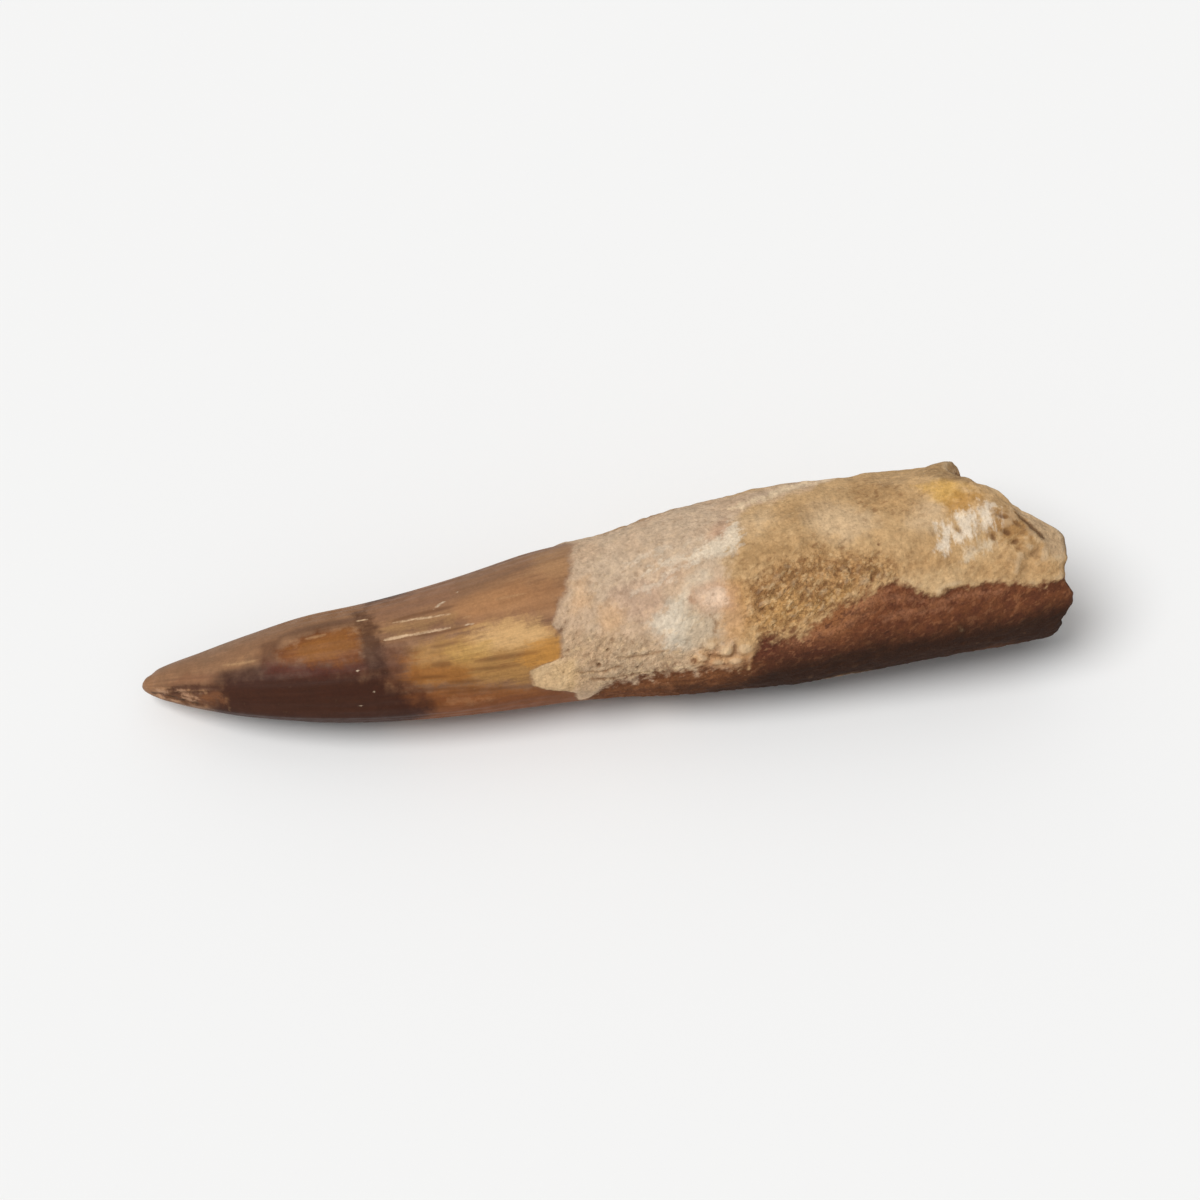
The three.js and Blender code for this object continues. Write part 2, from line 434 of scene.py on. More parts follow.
def light_enamel():
    """The crown's amber and honey windows, and the pale marks, painted glints and scratches on it."""
    return {
        "amber": patch(
            (22, 96), (24.3, 88.8), (26.3, 83), (29.2, 79.6), (32.1, 84), (34, 90), (34, 117), (31.3, 121),
            (29.2, 119), (24.9, 115), (22, 111.3),
        ),
        "amber_gold": patch((24, 100), (27, 92), (30, 87), (33.4, 90), (33.4, 104), (30, 113), (26, 112)),
        "honey": patch(
            (41.6, 120), (42.8, 117), (44.9, 114.6), (47.2, 113), (49.6, 112.6), (52.8, 110.6), (56, 111),
            (59.3, 114), (62.4, 123), (64, 132), (65, 150), (60, 152), (58.5, 163), (52, 155), (46.5, 148),
            (42, 147), (41.2, 134),
        ),
        "pale_tan": patch(
            (51, 115), (53.6, 110.6), (57.4, 110.6), (61, 116), (63, 127), (60.6, 132), (56, 131),
            (51.6, 126),
        ),
        "golden": patch((47.4, 123), (53, 122), (53.2, 132.6), (49.6, 136), (47.4, 132)),
        "ochre": patch((58.6, 133.8), (63, 131), (65, 141), (64, 149), (60.2, 148.4), (57.2, 141)),
        "orange": patch(
            (40.6, 124), (44.1, 130), (49.6, 138), (50.8, 151), (46.5, 150), (42.4, 147), (40.8, 135),
        ),
        "olive": patch(
            (38, 96.4), (38.7, 89), (43.3, 91), (49, 93.6), (49, 102.4), (44.9, 102), (40.3, 101.4),
        ),
        "warm_top": patch((49, 84), (56, 78), (64, 84), (65, 110), (59, 110), (52, 106), (48, 96)),
        "tan_edge": patch((61.4, 50), (69, 44), (68, 84), (64, 84), (61.4, 74)),
        "belly_red": patch(
            (38.6, 152), (45, 155), (54, 164), (62, 170), (68, 184), (72, 190), (72, 240), (52, 244),
            (38, 232),
        ),
        "belly_orange": patch((44.4, 151), (52, 157), (58.5, 167), (60, 176), (52, 169), (44.4, 163)),
        "belly_pale": stroke(0.7, (46, 170), (49.6, 171), (53.6, 172.4)),
        "streaks": strokes(
            (0.22, (37.8, 103), (39, 103), (42, 103.2)), (0.11, (39, 103), (44, 104), (48, 104.4)),
            (0.13, (42.4, 88.8), (44, 90), (45.4, 91)), (0.08, (39.2, 87.6), (43, 89), (48.4, 92.4)),
            (0.10, (33.8, 76.4), (35, 77), (36, 77.4)),
        ),
        "soft_streaks": strokes(
            (0.3, (13, 100.6), (15.7, 103), (18.6, 103)), (0.12, (49.8, 98), (51.4, 99)),
            (0.10, (51, 112), (54.4, 113)), (0.2, (26, 86.6), (29.4, 86)), (0.14, (55, 90), (60, 92)),
        ),
        # pale flecks on the crown, partly painted glints of light
        "flecks_and_glints": spots(
            (46.4, 80.5, 0.3, 0.22), (47.3, 78.2, 0.34, 0.2), (46.0, 83.5, 0.2, 0.24), (49.6, 70, 0.16, 0.14),
            (50.3, 105.2, 0.22, 0.1), (51.3, 105.6, 0.24, 0.1), (35.6, 150, 0.17, 0.15),
            (33.4, 166, 0.2, 0.1), (33.6, 128, 0.14, 0.12),
        ),
    }


def top_enamel():
    """The grey-brown upper side of the crown, its broad tones and a painted sheen along its top."""
    line = [
        (0, 128), (6, 124), (11, 118), (15, 110), (20, 104), (24, 90), (30, 78), (36, 76), (42, 90),
        (50, 84), (66, 60),
    ]
    return {
        "taupe": -below(line),
        # painted sheen: a lighter grey strip along the crown's top, standing in for light glancing off it
        "painted_top_sheen": -below([(0, 66), (10, 70), (16, 66), (27, 54), (37, 44), (46, 36), (60, 20)]),
        "top_mauve": patch((34, 30), (40.3, 28), (49, 34), (49.4, 74), (47.2, 88), (41, 86), (36.5, 82)),
        "brown_edge": patch((57, 80), (63.5, 84), (66.6, 90), (64.6, 112), (59.3, 107)),
    }


def tip_marks():
    """The worn tip: a chipped point, a dark crack above a row of small broken bits."""
    return {
        "tip_chip": spots((0.6, 90, 1.9, 3.2), (1.8, 176, 1.5, 1.6)),
        "tip_band": patch((5, 124), (7.4, 107), (10.2, 108), (12, 117), (11.4, 128), (8.5, 129)),
        "tip_crack": strokes(
            (0.42, (4.2, 146), (6, 137), (9, 136), (12.6, 138)), (0.3, (4.6, 160), (7, 150), (11, 144)),
        ),
        "tip_bits": spots(
            (3.2, 153, 0.9, 0.55, 10), (6.5, 146, 0.6, 0.3, 12), (7.5, 157, 1.1, 0.4, 14),
            (7.4, 168, 0.8, 0.4, 6), (2.6, 190, 0.9, 0.5), (5.0, 186, 0.7, 0.35),
        ),
        "tip_specks": spots(
            (2.0, 182, 0.4, 0.28), (4.6, 172, 0.7, 0.35, 5), (6.2, 176, 0.35, 0.25), (8.2, 176, 0.5, 0.3),
        ),
        "tip_orange": patch((9.1, 150), (12, 146), (12.4, 159), (9.1, 169)),
        "tip_break": patch(
            (3.6, 152), (6, 142), (12, 143), (13.4, 158), (11, 176), (5, 190), (2, 196), (1.8, 170),
        ),
    }


def far_enamel():
    """Stains on the side of the crown that the photo doesn't show."""
    return {
        "back_amber": patches(
            ((15, 26), (22, 44), (32, 48), (36.6, 34), (36, 2), (31, -22), (22, -24), (16, -6)),
            ((43, 40), (52, 36), (61, 24), (63, -8), (57, -30), (46, -26), (42, 4)),
        ),
        "back_gold": patches(
            ((19, 20), (27, 34), (33, 26), (34, 2), (29, -12), (21, -6)),
            ((47, 24), (55, 22), (60, 8), (59, -14), (50, -16), (46, 2)),
        ),
        "back_dark": patches(
            ((7, 0), (12, -4), (20, -34), (30, -40), (40, -46), (44, -80), (20, -92), (6, -70)),
            ((36, 50), (42, 46), (43.6, 6), (41, -40), (36, -34), (37.4, 0), (35.6, 26)),
        ),
        "back_lines": strokes(
            (0.3, (10, 30), (18, 36), (28, 40)), (0.25, (22, -14), (31, -16), (44, -15)),
            (0.3, (44, 46), (52, 42), (61, 41)), (0.3, (46, -28), (54, -33), (62, -32)),
            (0.2, (28, 6), (36, 3), (46, 4)), (0.3, (50, 8), (56, 5), (64, 6)),
            (0.2, (46, 16), (52, 14), (58, 15)), (0.2, (20, 12), (26, 15), (33, 15)),
            (0.25, (48, -8), (54, -6), (60, -7)),
        ),
        "back_scratches": strokes(
            (0.07, (18, 9), (22, 7), (26, 7)), (0.06, (38, 14), (41, 12), (44, 12)),
            (0.08, (52, -14), (55, -16), (57, -16)),
        ),
    }


def sandy_crust():
    """The root's ochre sand, its coarse patches and its shades."""
    edge = [
        (40, 95), (60, 93.6), (84, 92.6), (96, 91.4), (102, 90), (124, 89.8), (134, 91), (143, 89.4),
        (152, 89.6),
    ]
    sand = X - np.interp(TURN, [p[0] for p in edge], [p[1] for p in edge])
    return {
        "sand": np.minimum(sand, below([(88, 76), (96, 60), (104, 52), (112, 34), (124, 26), (138, 16)])),
        "orange_sand": patch(
            (88.8, 112), (91.6, 112), (93.4, 122), (93, 138), (91.7, 147), (89, 151), (87.6, 139),
            (88.6, 124),
        ),
        "coarse": patch(
            (92.4, 119), (94.4, 111), (98.4, 106), (103, 105), (108, 106), (113, 112), (114, 121), (111, 127),
            (107.3, 132.4), (103.4, 141), (99.5, 149), (92.6, 149), (91.8, 134),
        ),
        "coarse_dark": patches(
            ((92.8, 121), (94.9, 113.6), (97, 108.6), (101, 109), (103.6, 113), (101, 118), (97.4, 117.6),
             (95.4, 124), (94.4, 133), (93, 130)),
            ((104.6, 109), (108, 110), (110.2, 115), (109, 124), (106.4, 119)),
            ((100.6, 124.3), (103.4, 119.6), (105, 126.7), (103.4, 133), (101.3, 131.6)),
        ),
        "ochre_mid": patches(
            ((96, 126), (99.6, 124), (101, 134), (99, 142), (94.4, 145), (93.4, 138)),
            ((103.6, 128), (108, 124), (108.6, 128), (104, 136.6), (101, 141.6), (100.4, 137)),
        ),
        "light_mid": patches(
            ((104, 68), (110.6, 76), (114, 84), (111.3, 97), (107.7, 101.8), (103.8, 92.4)),
            ((94, 74), (98, 66), (99, 78), (95, 88)),
            ((121, 84), (126, 82), (124, 92), (120, 100), (118, 94)),
        ),
        "brown_mid": patches(
            ((113.8, 62), (116.3, 47), (121.6, 56), (126, 62), (124.6, 76), (120, 86), (115.6, 78)),
            ((116, 114), (118.8, 104), (121.6, 109), (122, 121), (119.6, 126), (117, 124)),
            ((97, 72), (103, 64), (105.4, 72), (99, 84)),
            ((92, 92), (98, 88), (104, 100), (99, 106), (92.6, 106)),
        ),
        "cream": patch((114, 125.4), (118.4, 123), (123, 126), (122, 134), (118.4, 136), (115.4, 132)),
        "low_brown": patches(
            ((112, 118), (118, 116), (123, 121), (119, 124), (114, 124)),
            ((122, 128), (127, 122), (134, 126), (138, 138), (128, 135)),
            ((128, 118), (133, 116), (137, 120), (133, 124)),
        ),
        "hatched": patches(
            ((112, 64), (116, 46), (122, 46), (127, 60), (126, 78), (120, 88), (114, 84)),
            ((92, 100), (97, 90), (104, 92), (106, 104), (98, 108)),
        ),
    }


def pale_crust():
    """The near half of the crust: greyish pink, with white and peach patches."""
    return {
        "mauve": patches(
            ((73, 106), (77, 103), (80, 105), (80.4, 122), (77.4, 131), (73.4, 121)),
            ((79.6, 98), (84, 96), (84, 106), (80, 108)),
        ),
        "peach": patches(
            ((70, 112), (73.4, 111), (74, 127), (70.4, 132)),
            ((66.6, 92), (69, 90), (69.4, 112), (66.4, 116)),
        ),
        "rust_low": patch((83.4, 159), (87, 153), (89, 158.6), (93, 158), (93.4, 169), (85, 172)),
        "pink_round": patch((83.6, 122), (84.4, 112), (88.6, 110), (91, 118), (90.6, 128), (86, 131)),
        "pink_spot": patch((85, 121), (85.6, 116), (88.1, 114.6), (89.6, 118.4), (89.4, 124.6), (86.7, 127)),
        "crescent": stroke(0.35, (84.4, 115), (84.1, 119), (84.8, 123)),
        "red_mark": patch((87.6, 82), (88.6, 74), (91, 69), (92, 76), (91, 86)),
        "white": patch(
            (77.6, 131), (78.8, 126), (81, 121), (82, 115), (84.2, 119), (83.4, 127), (84.4, 134),
            (82.8, 141), (83.4, 149.4), (79.5, 149), (79.8, 141),
        ),
        "white_right": patch(
            (83, 120.6), (86.7, 119.6), (88, 130.3), (88, 142), (86, 151.6), (82.6, 150), (82.6, 134),
        ),
        "white_arm": patch((82, 118), (84.2, 105.4), (87.2, 103.4), (87.8, 110), (85, 115.6), (83.5, 123)),
        "wisps": strokes(
            (0.5, (77.6, 97.6), (80.6, 93.6), (83.4, 92)), (0.35, (80, 101), (83, 98.6), (85.6, 97)),
            (0.3, (76, 108), (79, 105.6), (82, 104.6)), (0.35, (75, 88), (79, 84), (82, 82)),
        ),
        "white_streak": patch(
            (84, 93), (87.4, 87), (90, 84.6), (91.2, 77), (92.4, 72.6), (93, 80), (92.6, 88.6), (91.4, 94.6),
            (88.4, 96), (85, 96.4),
        ),
        "thin_streak": strokes(
            (0.35, (82.6, 87), (85.4, 83.4), (88.6, 80)), (0.3, (78, 96), (81, 92), (84, 90)),
        ),
        "top_streak": strokes(
            (0.9, (97.6, 55), (103, 44), (109, 33)), (0.5, (92, 60), (97, 55), (101, 51)),
            (0.5, (104, 46), (110, 38), (116, 33)),
        ),
        "pitted": patch(
            (64.8, 128), (70.6, 131.4), (75.6, 139), (80, 149), (88, 150), (90, 158), (86, 168), (81, 168),
            (75.3, 174), (69.9, 178), (64.6, 174), (62.8, 152),
        ),
        "lobe": patch((58.6, 148), (62.4, 145), (66, 148), (66.8, 164), (65.4, 182), (61, 173), (58.4, 166)),
        "low_lines": strokes(
            (0.22, (73.4, 165), (78, 165), (83.6, 164.4)), (0.16, (76, 168.4), (81, 168.6), (87, 166.6)),
        ),
        "bumps": spots(
            (91.4, 155, 1.3, 1.2), (88.7, 155.6, 1.2, 1.1), (90, 163, 1.3, 1.0), (87.4, 163.6, 1.2, 0.9),
            (86.6, 151, 1.0, 0.9), (85, 158, 1.1, 0.9), (84.4, 164, 1.0, 0.8),
        ),
        "specks": spots(
            (69.6, 154, 0.34, 0.34), (65.3, 140, 0.3, 0.3), (71, 143.4, 0.24, 0.24), (75.3, 160, 0.3, 0.2),
            (64.4, 124.6, 0.5, 0.36, 30), (65.4, 120, 0.3, 0.5, -20), (63.7, 128.4, 0.3, 0.4),
            (112.4, 104, 0.24, 0.3), (76, 10, 0.4, 0.3), (81.4, -18, 0.3, 0.3), (89, 36, 0.5, 0.35, 20),
            (96.2, 2, 0.35, 0.3), (103.6, 24, 0.3, 0.4), (111, -12, 0.5, 0.4, -15), (118.4, 30, 0.3, 0.3),
            (124, -26, 0.45, 0.3), (92.6, -40, 0.35, 0.4),
        ),
        "gap_lines": strokes(
            (0.25, (90, 152), (90, 156), (89.4, 159.4)), (0.2, (84, 155), (87, 158.6), (90, 159.6)),
            (0.22, (68, 166), (72, 168), (77, 165)), (0.2, (66, 158), (70, 160), (73, 157)),
            (0.2, (72, 150), (76, 152), (80, 150)), (0.22, (86.6, 130), (87.6, 137), (87, 144)),
        ),
    }


def rim_marks():
    """Marks on the crust near the broken end: chalk, knobs, the pale lip and its crack."""
    return {
        "yellow": patch((125.6, 82), (129, 71.4), (133.4, 70.4), (134, 77), (129.6, 84), (126.6, 86)),
        "ochre_knob": patch((124, 93.6), (127.3, 83.6), (131, 80.6), (133.6, 84), (130.6, 89), (127.7, 93)),
        "shadow": patch((133.6, 38), (139, 34), (139, 72), (134.4, 74), (133, 60)),
        "chalk": patches(
            ((118.8, 113), (120.4, 104), (121.6, 98), (123.4, 97.6), (122.8, 104), (120.8, 113.6)),
            ((122, 109), (123.4, 101), (124.8, 95), (127.2, 93), (127, 98), (124.4, 106), (122.8, 109.4)),
            ((125.4, 105.4), (127, 98), (129, 92), (131.4, 89.4), (132, 92), (129.4, 99), (126.4, 106.4)),
            ((122, 105), (127.6, 97), (128.6, 99), (123.4, 108)),
        ),
        "chalk_low": stroke(0.9, (122.4, 121), (124, 116), (126.4, 112)),
        "brown_rim": patch((128, 98.6), (131.4, 93), (134, 96), (133, 112), (128.6, 116), (126.4, 110)),
        "knobs": patch((127.6, 116), (129, 104), (133, 92), (138.6, 78), (140, 122), (129, 136)),
        "lip": patch(
            (135, 90), (133.4, 98), (132.8, 105.4), (133.4, 112.5), (134.8, 126), (139, 128), (139, 88),
        ),
        "crack": stroke(0.5, (133.6, 96), (132.9, 102), (132.8, 108), (133.8, 115)),
        "rim_pits": spots(
            (130.5, 99.5, 0.6, 0.45), (128.7, 107.8, 0.5, 0.5), (126.6, 110, 0.4, 0.5),
            (131.0, 104, 0.4, 0.5), (129.4, 114, 0.5, 0.4), (123.2, 103.4, 0.2, 0.5, 10),
        ),
    }


def dark_belly():
    """The bare dentine under the root: its tones, a painted shadow underneath, and the sand left on it."""
    # edge of the painted shadow: past this line the underside is coloured near-black as if in shade
    belly_shadow_line = [(86, 186), (93.4, 174), (101.6, 169), (106.6, 164.6), (113.8, 162), (122, 159.6), (138, 163)]
    return {
        "dark_red_root": patch(
            (92.6, 152), (96, 149), (100.6, 150.6), (104.1, 155), (104.6, 169), (98.8, 170), (93.4, 166),
        ),
        "rough_brown": patch(
            (97, 153), (101.6, 145), (104.5, 137), (108.1, 131), (110.4, 129), (111, 136), (107.7, 146),
            (103.6, 159), (98, 161),
        ),
        "dust": strokes(
            (0.5, (107, 142), (110, 135), (113, 130)), (0.4, (104, 152), (107, 146), (110, 142)),
            (0.35, (112, 136), (115, 137), (118, 141)), (0.4, (98, 157), (101, 153), (104, 149)),
            (0.3, (118, 143), (123, 141), (128, 143)), (0.3, (112, 148), (116, 146), (120, 147)),
        ),
        # painted shadow over the underside, fading in towards the crown
        "painted_belly_shadow": np.minimum(below(belly_shadow_line), 0.3 * (X - 84)),
        "strip": np.minimum(below([(64, 200), (70, 178), (78, 168), (94, 168)]), 93 - X),
        "strip_pale": strokes((0.4, (70, 186), (76, 182), (84, 180)), (0.3, (78, 176), (84, 175), (89, 175))),
        "belly_worn": patches(
            ((84, 214), (92, 206), (98, 222), (92, 244), (84, 236)),
            ((102, 240), (112, 228), (121, 240), (116, 262), (105, 264)),
            ((120, 206), (130, 200), (135, 216), (126, 228)), ((96, 270), (104, 276), (101, 290), (92, 284)),
        ),
        "belly_sand": patches(
            ((86, 256), (94, 250), (97, 266), (90, 276)), ((108, 280), (120, 276), (124, 290), (112, 296)),
            ((124, 252), (131, 248), (134, 262), (127, 268)), ((74, 214), (80, 208), (84, 220), (78, 228)),
            ((104, 208), (108, 203), (111, 210), (107, 217)),
        ),
    }


def far_crust():
    """Patches of the crust on the side that the photo doesn't show."""
    return {
        "back_stain": patches(
            ((76, 18), (84, 32), (97, 30), (104, 14), (100, -8), (90, -4), (84, -16)),
            ((104, -20), (112, -10), (126, -12), (130, -30), (122, -46), (106, -42)),
            ((68, -28), (78, -20), (84, -40), (74, -54)),
        ),
        "back_pale": patches(
            ((100, 20), (112, 30), (126, 16), (120, 0), (106, -4)), ((70, 12), (78, 6), (80, -12), (70, -14)),
            ((88, -22), (97, -14), (101, -30), (92, -44)),
        ),
        "back_coarse": patches(
            ((108, 6), (118, 10), (128, -2), (126, -18), (114, -14)),
            ((72, 40), (80, 46), (86, 34), (78, 26)),
            ((86, -46), (98, -40), (106, -58), (94, -74)),
        ),
        "back_ochre": patches(
            ((118, 34), (128, 40), (138, 30), (138, 4), (128, 6)), ((92, 44), (100, 40), (98, 24), (90, 30)),
        ),
    }


ZONES = {
    **top_enamel(), **light_enamel(), **dark_enamel(), **tip_marks(), **far_enamel(),
    **sandy_crust(), **pale_crust(), **rim_marks(), **dark_belly(), **far_crust(),
}


# ---------------------------------------------------------------- relief, in mm along the outward normal

def crown_relief():
    around = np.stack([X / 14, np.cos(ANGLE), np.sin(ANGLE)], axis=-1)
    wander = noise(around, 1.0, 21)
    fade = smooth(X, 12, 32) * (1 - smooth(X, 60, 68))
    strength = 0.6 + 0.4 * noise(around * [1, 4, 4], 1.0, 22)
    flutes = FLUTE_HEIGHT * np.sin(FLUTES * ANGLE + 3 * wander) * strength * fade
    swell = 0.10 * noise(BASE, 11, 23) * smooth(X, 4, 14)
    dents = DENT_DEPTH * pits(BASE, 6, 1.6, 25) * smooth(X, 14, 24)
    chip = CHIP_DEPTH * smooth(ZONES["tip_chip"], -0.4, 0.9) * smooth(X, 0.2, 1.5)
    chip = chip + CHIP_DEPTH * smooth(ZONES["tip_specks"], -0.2, 0.3)
    crack = CRACK_DEPTH * smooth(ZONES["tip_crack"], -0.2, 0.3)
    broken = smooth(ZONES["tip_break"], -0.4, 0.6) * (0.18 + 0.34 * layered(BASE, 1.3, 3, 24))
    scratches = SCRATCH_DEPTH * smooth(np.maximum(ZONES["streaks"], ZONES["back_scratches"]), -0.1, 0.1)
    worn = WORN_FLAT_DEPTH * smooth(spot(12, 35, 17, 8), 0, 7)
    return flutes + swell - dents - chip - crack - broken - scratches - worn


def crust_relief():
    uneven = 1.4 * noise(BASE, 3.0, 31)
    coarse = smooth(ZONES["coarse"] + uneven, -1.2, 1.2)
    pitted = smooth(np.maximum(ZONES["pitted"], ZONES["back_coarse"]) + uneven, -0.8, 1.8)
    coarse = np.maximum(coarse, 0.5 * pitted)
    calm = smooth(ZONES["top_streak"], -1.2, 0.2)
    broad = 0.24 * layered(BASE, 8, 2, 32)
    rolling = 0.13 * layered(BASE, 2.6, 2, 30)
    grain = (0.05 + 0.10 * coarse) * layered(BASE, 1.2, 2, 33)
    grooves = (0.05 + 0.24 * coarse) * layered(combed(BASE), 1.2, 2, 52)
    small = (0.04 + 0.26 * coarse) * smooth(layered(BASE, 1.5, 2, 34), 0.15, 0.65)
    wide = WIDE_PIT_DEPTH * pits(BASE, 6.5, 1.5, 35) * (1 - calm)
    knobbed = smooth(ZONES["knobs"], -1.5, 2.5) * (1 - smooth(ZONES["lip"], -1.5, 0.5))
    knobs = KNOB_HEIGHT * knobbed * layered(BASE, 2.4, 2, 36)
    bumps = BUMP_HEIGHT * smooth(ZONES["bumps"], -0.3, 1.0) - 0.2 * smooth(ZONES["gap_lines"], -0.2, 0.2)
    thick = CRUST_STEP * (0.45 + 0.55 * smooth(CRUST, 0, 6)) * (1 + 0.25 * noise(BASE, 6, 37))
    swell = 0.6 * smooth(spot(103, 45, 16, 8), 0, 6) - 0.7 * smooth(spot(129, 45, 9, 7), 0, 5)
    return COVER * (thick + swell + broad + rolling + grain + grooves - small - wide + knobs + bumps)


def bare_relief():
    rough = 0.14 * layered(BASE, 3.5, 3, 38) + 0.14 * layered(combed(BASE), 1.1, 2, 44)
    hollows = 0.10 * smooth(layered(BASE, 1.6, 2, 39), 0.15, 0.65)
    return (1 - COVER) * smooth(X, 66, 72) * (rough - hollows)


def rim_relief():
    """The low lip with its crack, the peak above it, and the worn and rounded rim of the broken end."""
    lip = CRUST_STEP * smooth(ZONES["lip"], -0.3, 0.4) + RIM_CRACK_DEPTH * smooth(ZONES["crack"], -0.2, 0.3)
    peak = PEAK_HEIGHT * smooth(spot(139, 47, 10, 5), 0, 4.5)
    worn = WORN_RIM_DEPTH * smooth(X, 131, 137) * smooth(spot(138, 102, 9, 6.5), 0, 3)
    rolled = ROLLED_RIM_DEPTH * smooth(X, ROOT_END - 1.2, ROOT_END) ** 2
    return peak - lip - worn - rolled


def root_relief():
    holes = smooth(np.maximum(ZONES["specks"], ZONES["rim_pits"]), -0.15, 0.3) * smooth(X, 60, 62)
    return crust_relief() + bare_relief() + rim_relief() - HOLE_DEPTH * holes


def plateaus(points, spacing, seed):
    """A random level, 0 to 1, for each cell of a broken surface, the cells about spacing mm across."""
    rng = np.random.RandomState(seed)
    order = rng.permutation(256)
    place = rng.uniform(0.1, 0.9, (256, 3))
    level = rng.uniform(0, 1, 256)
    p = points / spacing
    cell = np.floor(p).astype(int)
    nearest = np.full(points.shape[:-1], np.inf)
    height = np.zeros(points.shape[:-1])
    for step in itertools.product((-1, 0, 1), repeat=3):
        h = hashed(order, cell + step)
        away = np.linalg.norm(cell + step + place[h] - p, axis=-1)
        height = np.where(away < nearest, level[h], height)
        nearest = np.minimum(away, nearest)
    return height


def end_shift():
    """How far the rim and the broken face stand out or in, along the tooth, from their plain form."""
    rim = smooth(X, ROOT_END - 5, ROOT_END) * SHARE**3
    calm = 1 - 0.8 * smooth(spots((ROOT_END, 47, 20, 8), (ROOT_END, 102, 14, 8)), 0, 4)
    ragged = rim * calm * (0.9 * layered(BASE, 4.5, 3, 40) - RIM_PIT_DEPTH * pits(BASE, 7, 3.2, 46))
    inside = smooth(1 - SHARE, 0, 0.08) * ON_END
    wandering = BASE + 1.2 * layered(BASE, 3, 2, 49)[..., None]
    steps = STEP_HEIGHT * plateaus(wandering, 4.6, 42) + 0.7 * plateaus(wandering, 2.2, 50)
    steps = steps * smooth(1 - SHARE, 0, 0.22)
    splinters = 0.9 * layered(BASE, 5, 3, 41) + 0.45 * layered(BASE, 1.6, 2, 51)
    rays = 0.15 * np.sin(38 * ANGLE + 5 * noise(BASE, 4, 47)) * smooth(SHARE, 0.5, 0.7)
    sand = 0.45 * layered(BASE, 1.8, 3, 43) + 0.9 * noise(BASE, 6, 45) - CORE_DEPTH
    core = smooth(CORE, -0.4, 0.5)
    return ragged + inside * ((1 - core) * (splinters - steps + rays) + core * sand)


def core_zone():
    """The sand-filled hollow in the middle of the broken face."""
    across, up = SHARE * np.cos(ANGLE), SHARE * np.sin(ANGLE)
    away = np.hypot((across - 0.06) / 1.12, (up + 0.08) / 0.9)
    ragged = 0.6 * layered(BASE, 4, 2, 48)
    return np.where(ON_END, (CORE_SIZE - away) * half_width(X), -FARTHEST) + ragged


def levelled(field, reach):
    """A field averaged over a square of rows and columns, reach cells either way."""
    steps = range(-reach, reach + 1)
    padded = np.pad(field, ((reach, reach), (0, 0)), mode="edge")
    rows = sum(padded[reach + n:reach + n + len(field)] for n in steps) / len(steps)
    return sum(np.roll(rows, n, axis=1) for n in steps) / len(steps)


CORE = core_zone()
LAST_WALL_ROW = int(np.argmax(ON_END[:, 0])) - 1
RELIEF = crown_relief() * (1 - COVER) + root_relief()
RELIEF = np.where(ON_END, RELIEF[LAST_WALL_ROW], RELIEF)
# the rim moves the way that the wall beside it does, and the broken face follows it, less and less inwards
AT_RIM = X == ROOT_END
MOVED = np.where(AT_RIM[..., None], OUT[LAST_WALL_ROW - 1], OUT) * RELIEF[..., None]
POINTS = BASE + MOVED * smooth(SHARE, 0.35, 1)[..., None]
POINTS[..., 0] += end_shift()
# how far each place lies below its surroundings, which the material turns into painted shade and light
HOLLOWS = levelled(RELIEF, 3) - RELIEF
TIP = base_points(np.array([0.0]), np.array([0.0]), np.array([1.0]))
CENTRE = POINTS[-1].mean(axis=0, keepdims=True)


# ---------------------------------------------------------------- the mesh

def to_frame(points):
    """Points in mm from the tip, placed in the CAD frame in metres, with none under the floor."""
    low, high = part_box("tooth")
    across = (BASE[..., 1].min() + BASE[..., 1].max()) / 2
    shift = np.array([low.x / MM, (low.y + high.y) / 2 / MM - across, 0])
    placed = points + shift
    placed[:, 2] = np.maximum(placed[:, 2], 0)
    return placed * MM


def unwrap(mesh, faces):
    """Lays the mesh out for a texture, each face by the rows and columns of its corners."""
    rows, columns = X.shape
    disc = DISC_RADIUS * SHARE[..., None] * np.stack([np.cos(ANGLE), np.sin(ANGLE)], axis=-1)
    disc = (disc + DISC_MIDDLE).reshape(-1, 2)
    along = UV_MARGIN + (1 - 2 * UV_MARGIN) * X[:, 0] / ROOT_END
    layer = mesh.uv_layers.new(name="OFBake")
    flat = []
    for face in faces:
        turns = [n % columns for n in face if n < rows * columns]
        seam = max(turns) - min(turns) > columns / 2
        on_disc = max(face) >= (LAST_WALL_ROW + 1) * columns and rows * columns not in face
        for n in face:
            if on_disc:
                flat.append(DISC_MIDDLE if n >= rows * columns else disc[n])
            elif n == rows * columns:
                flat.append((UV_MARGIN, WALL_TOP * (min(turns) + 0.5) / columns))
            else:
                turn = n % columns + (columns if seam and n % columns < columns / 2 else 0)
                flat.append((along[n // columns], WALL_TOP * turn / columns))
    layer.data.foreach_set("uv", np.array(flat, np.float32).ravel())


def tooth_mesh():
    rows, columns = X.shape
    points = np.concatenate([POINTS.reshape(-1, 3), TIP, CENTRE])
    tip, centre = rows * columns, rows * columns + 1
    i = np.arange(rows - 1)[:, None] * columns
    j = np.arange(columns)[None, :]
    k = (j + 1) % columns
    quads = np.stack([i + k, i + columns + k, i + columns + j, i + j], axis=-1)
    last = (rows - 1) * columns
    faces = quads.reshape(-1, 4).tolist()
    faces += [(tip, (n + 1) % columns, n) for n in range(columns)]
    faces += [(centre, last + n, last + (n + 1) % columns) for n in range(columns)]
    mesh = bpy.data.meshes.new("tooth_surface")
    mesh.from_pydata(to_frame(points).tolist(), [], faces)
    unwrap(mesh, faces)
    mesh.shade_smooth()
    return mesh


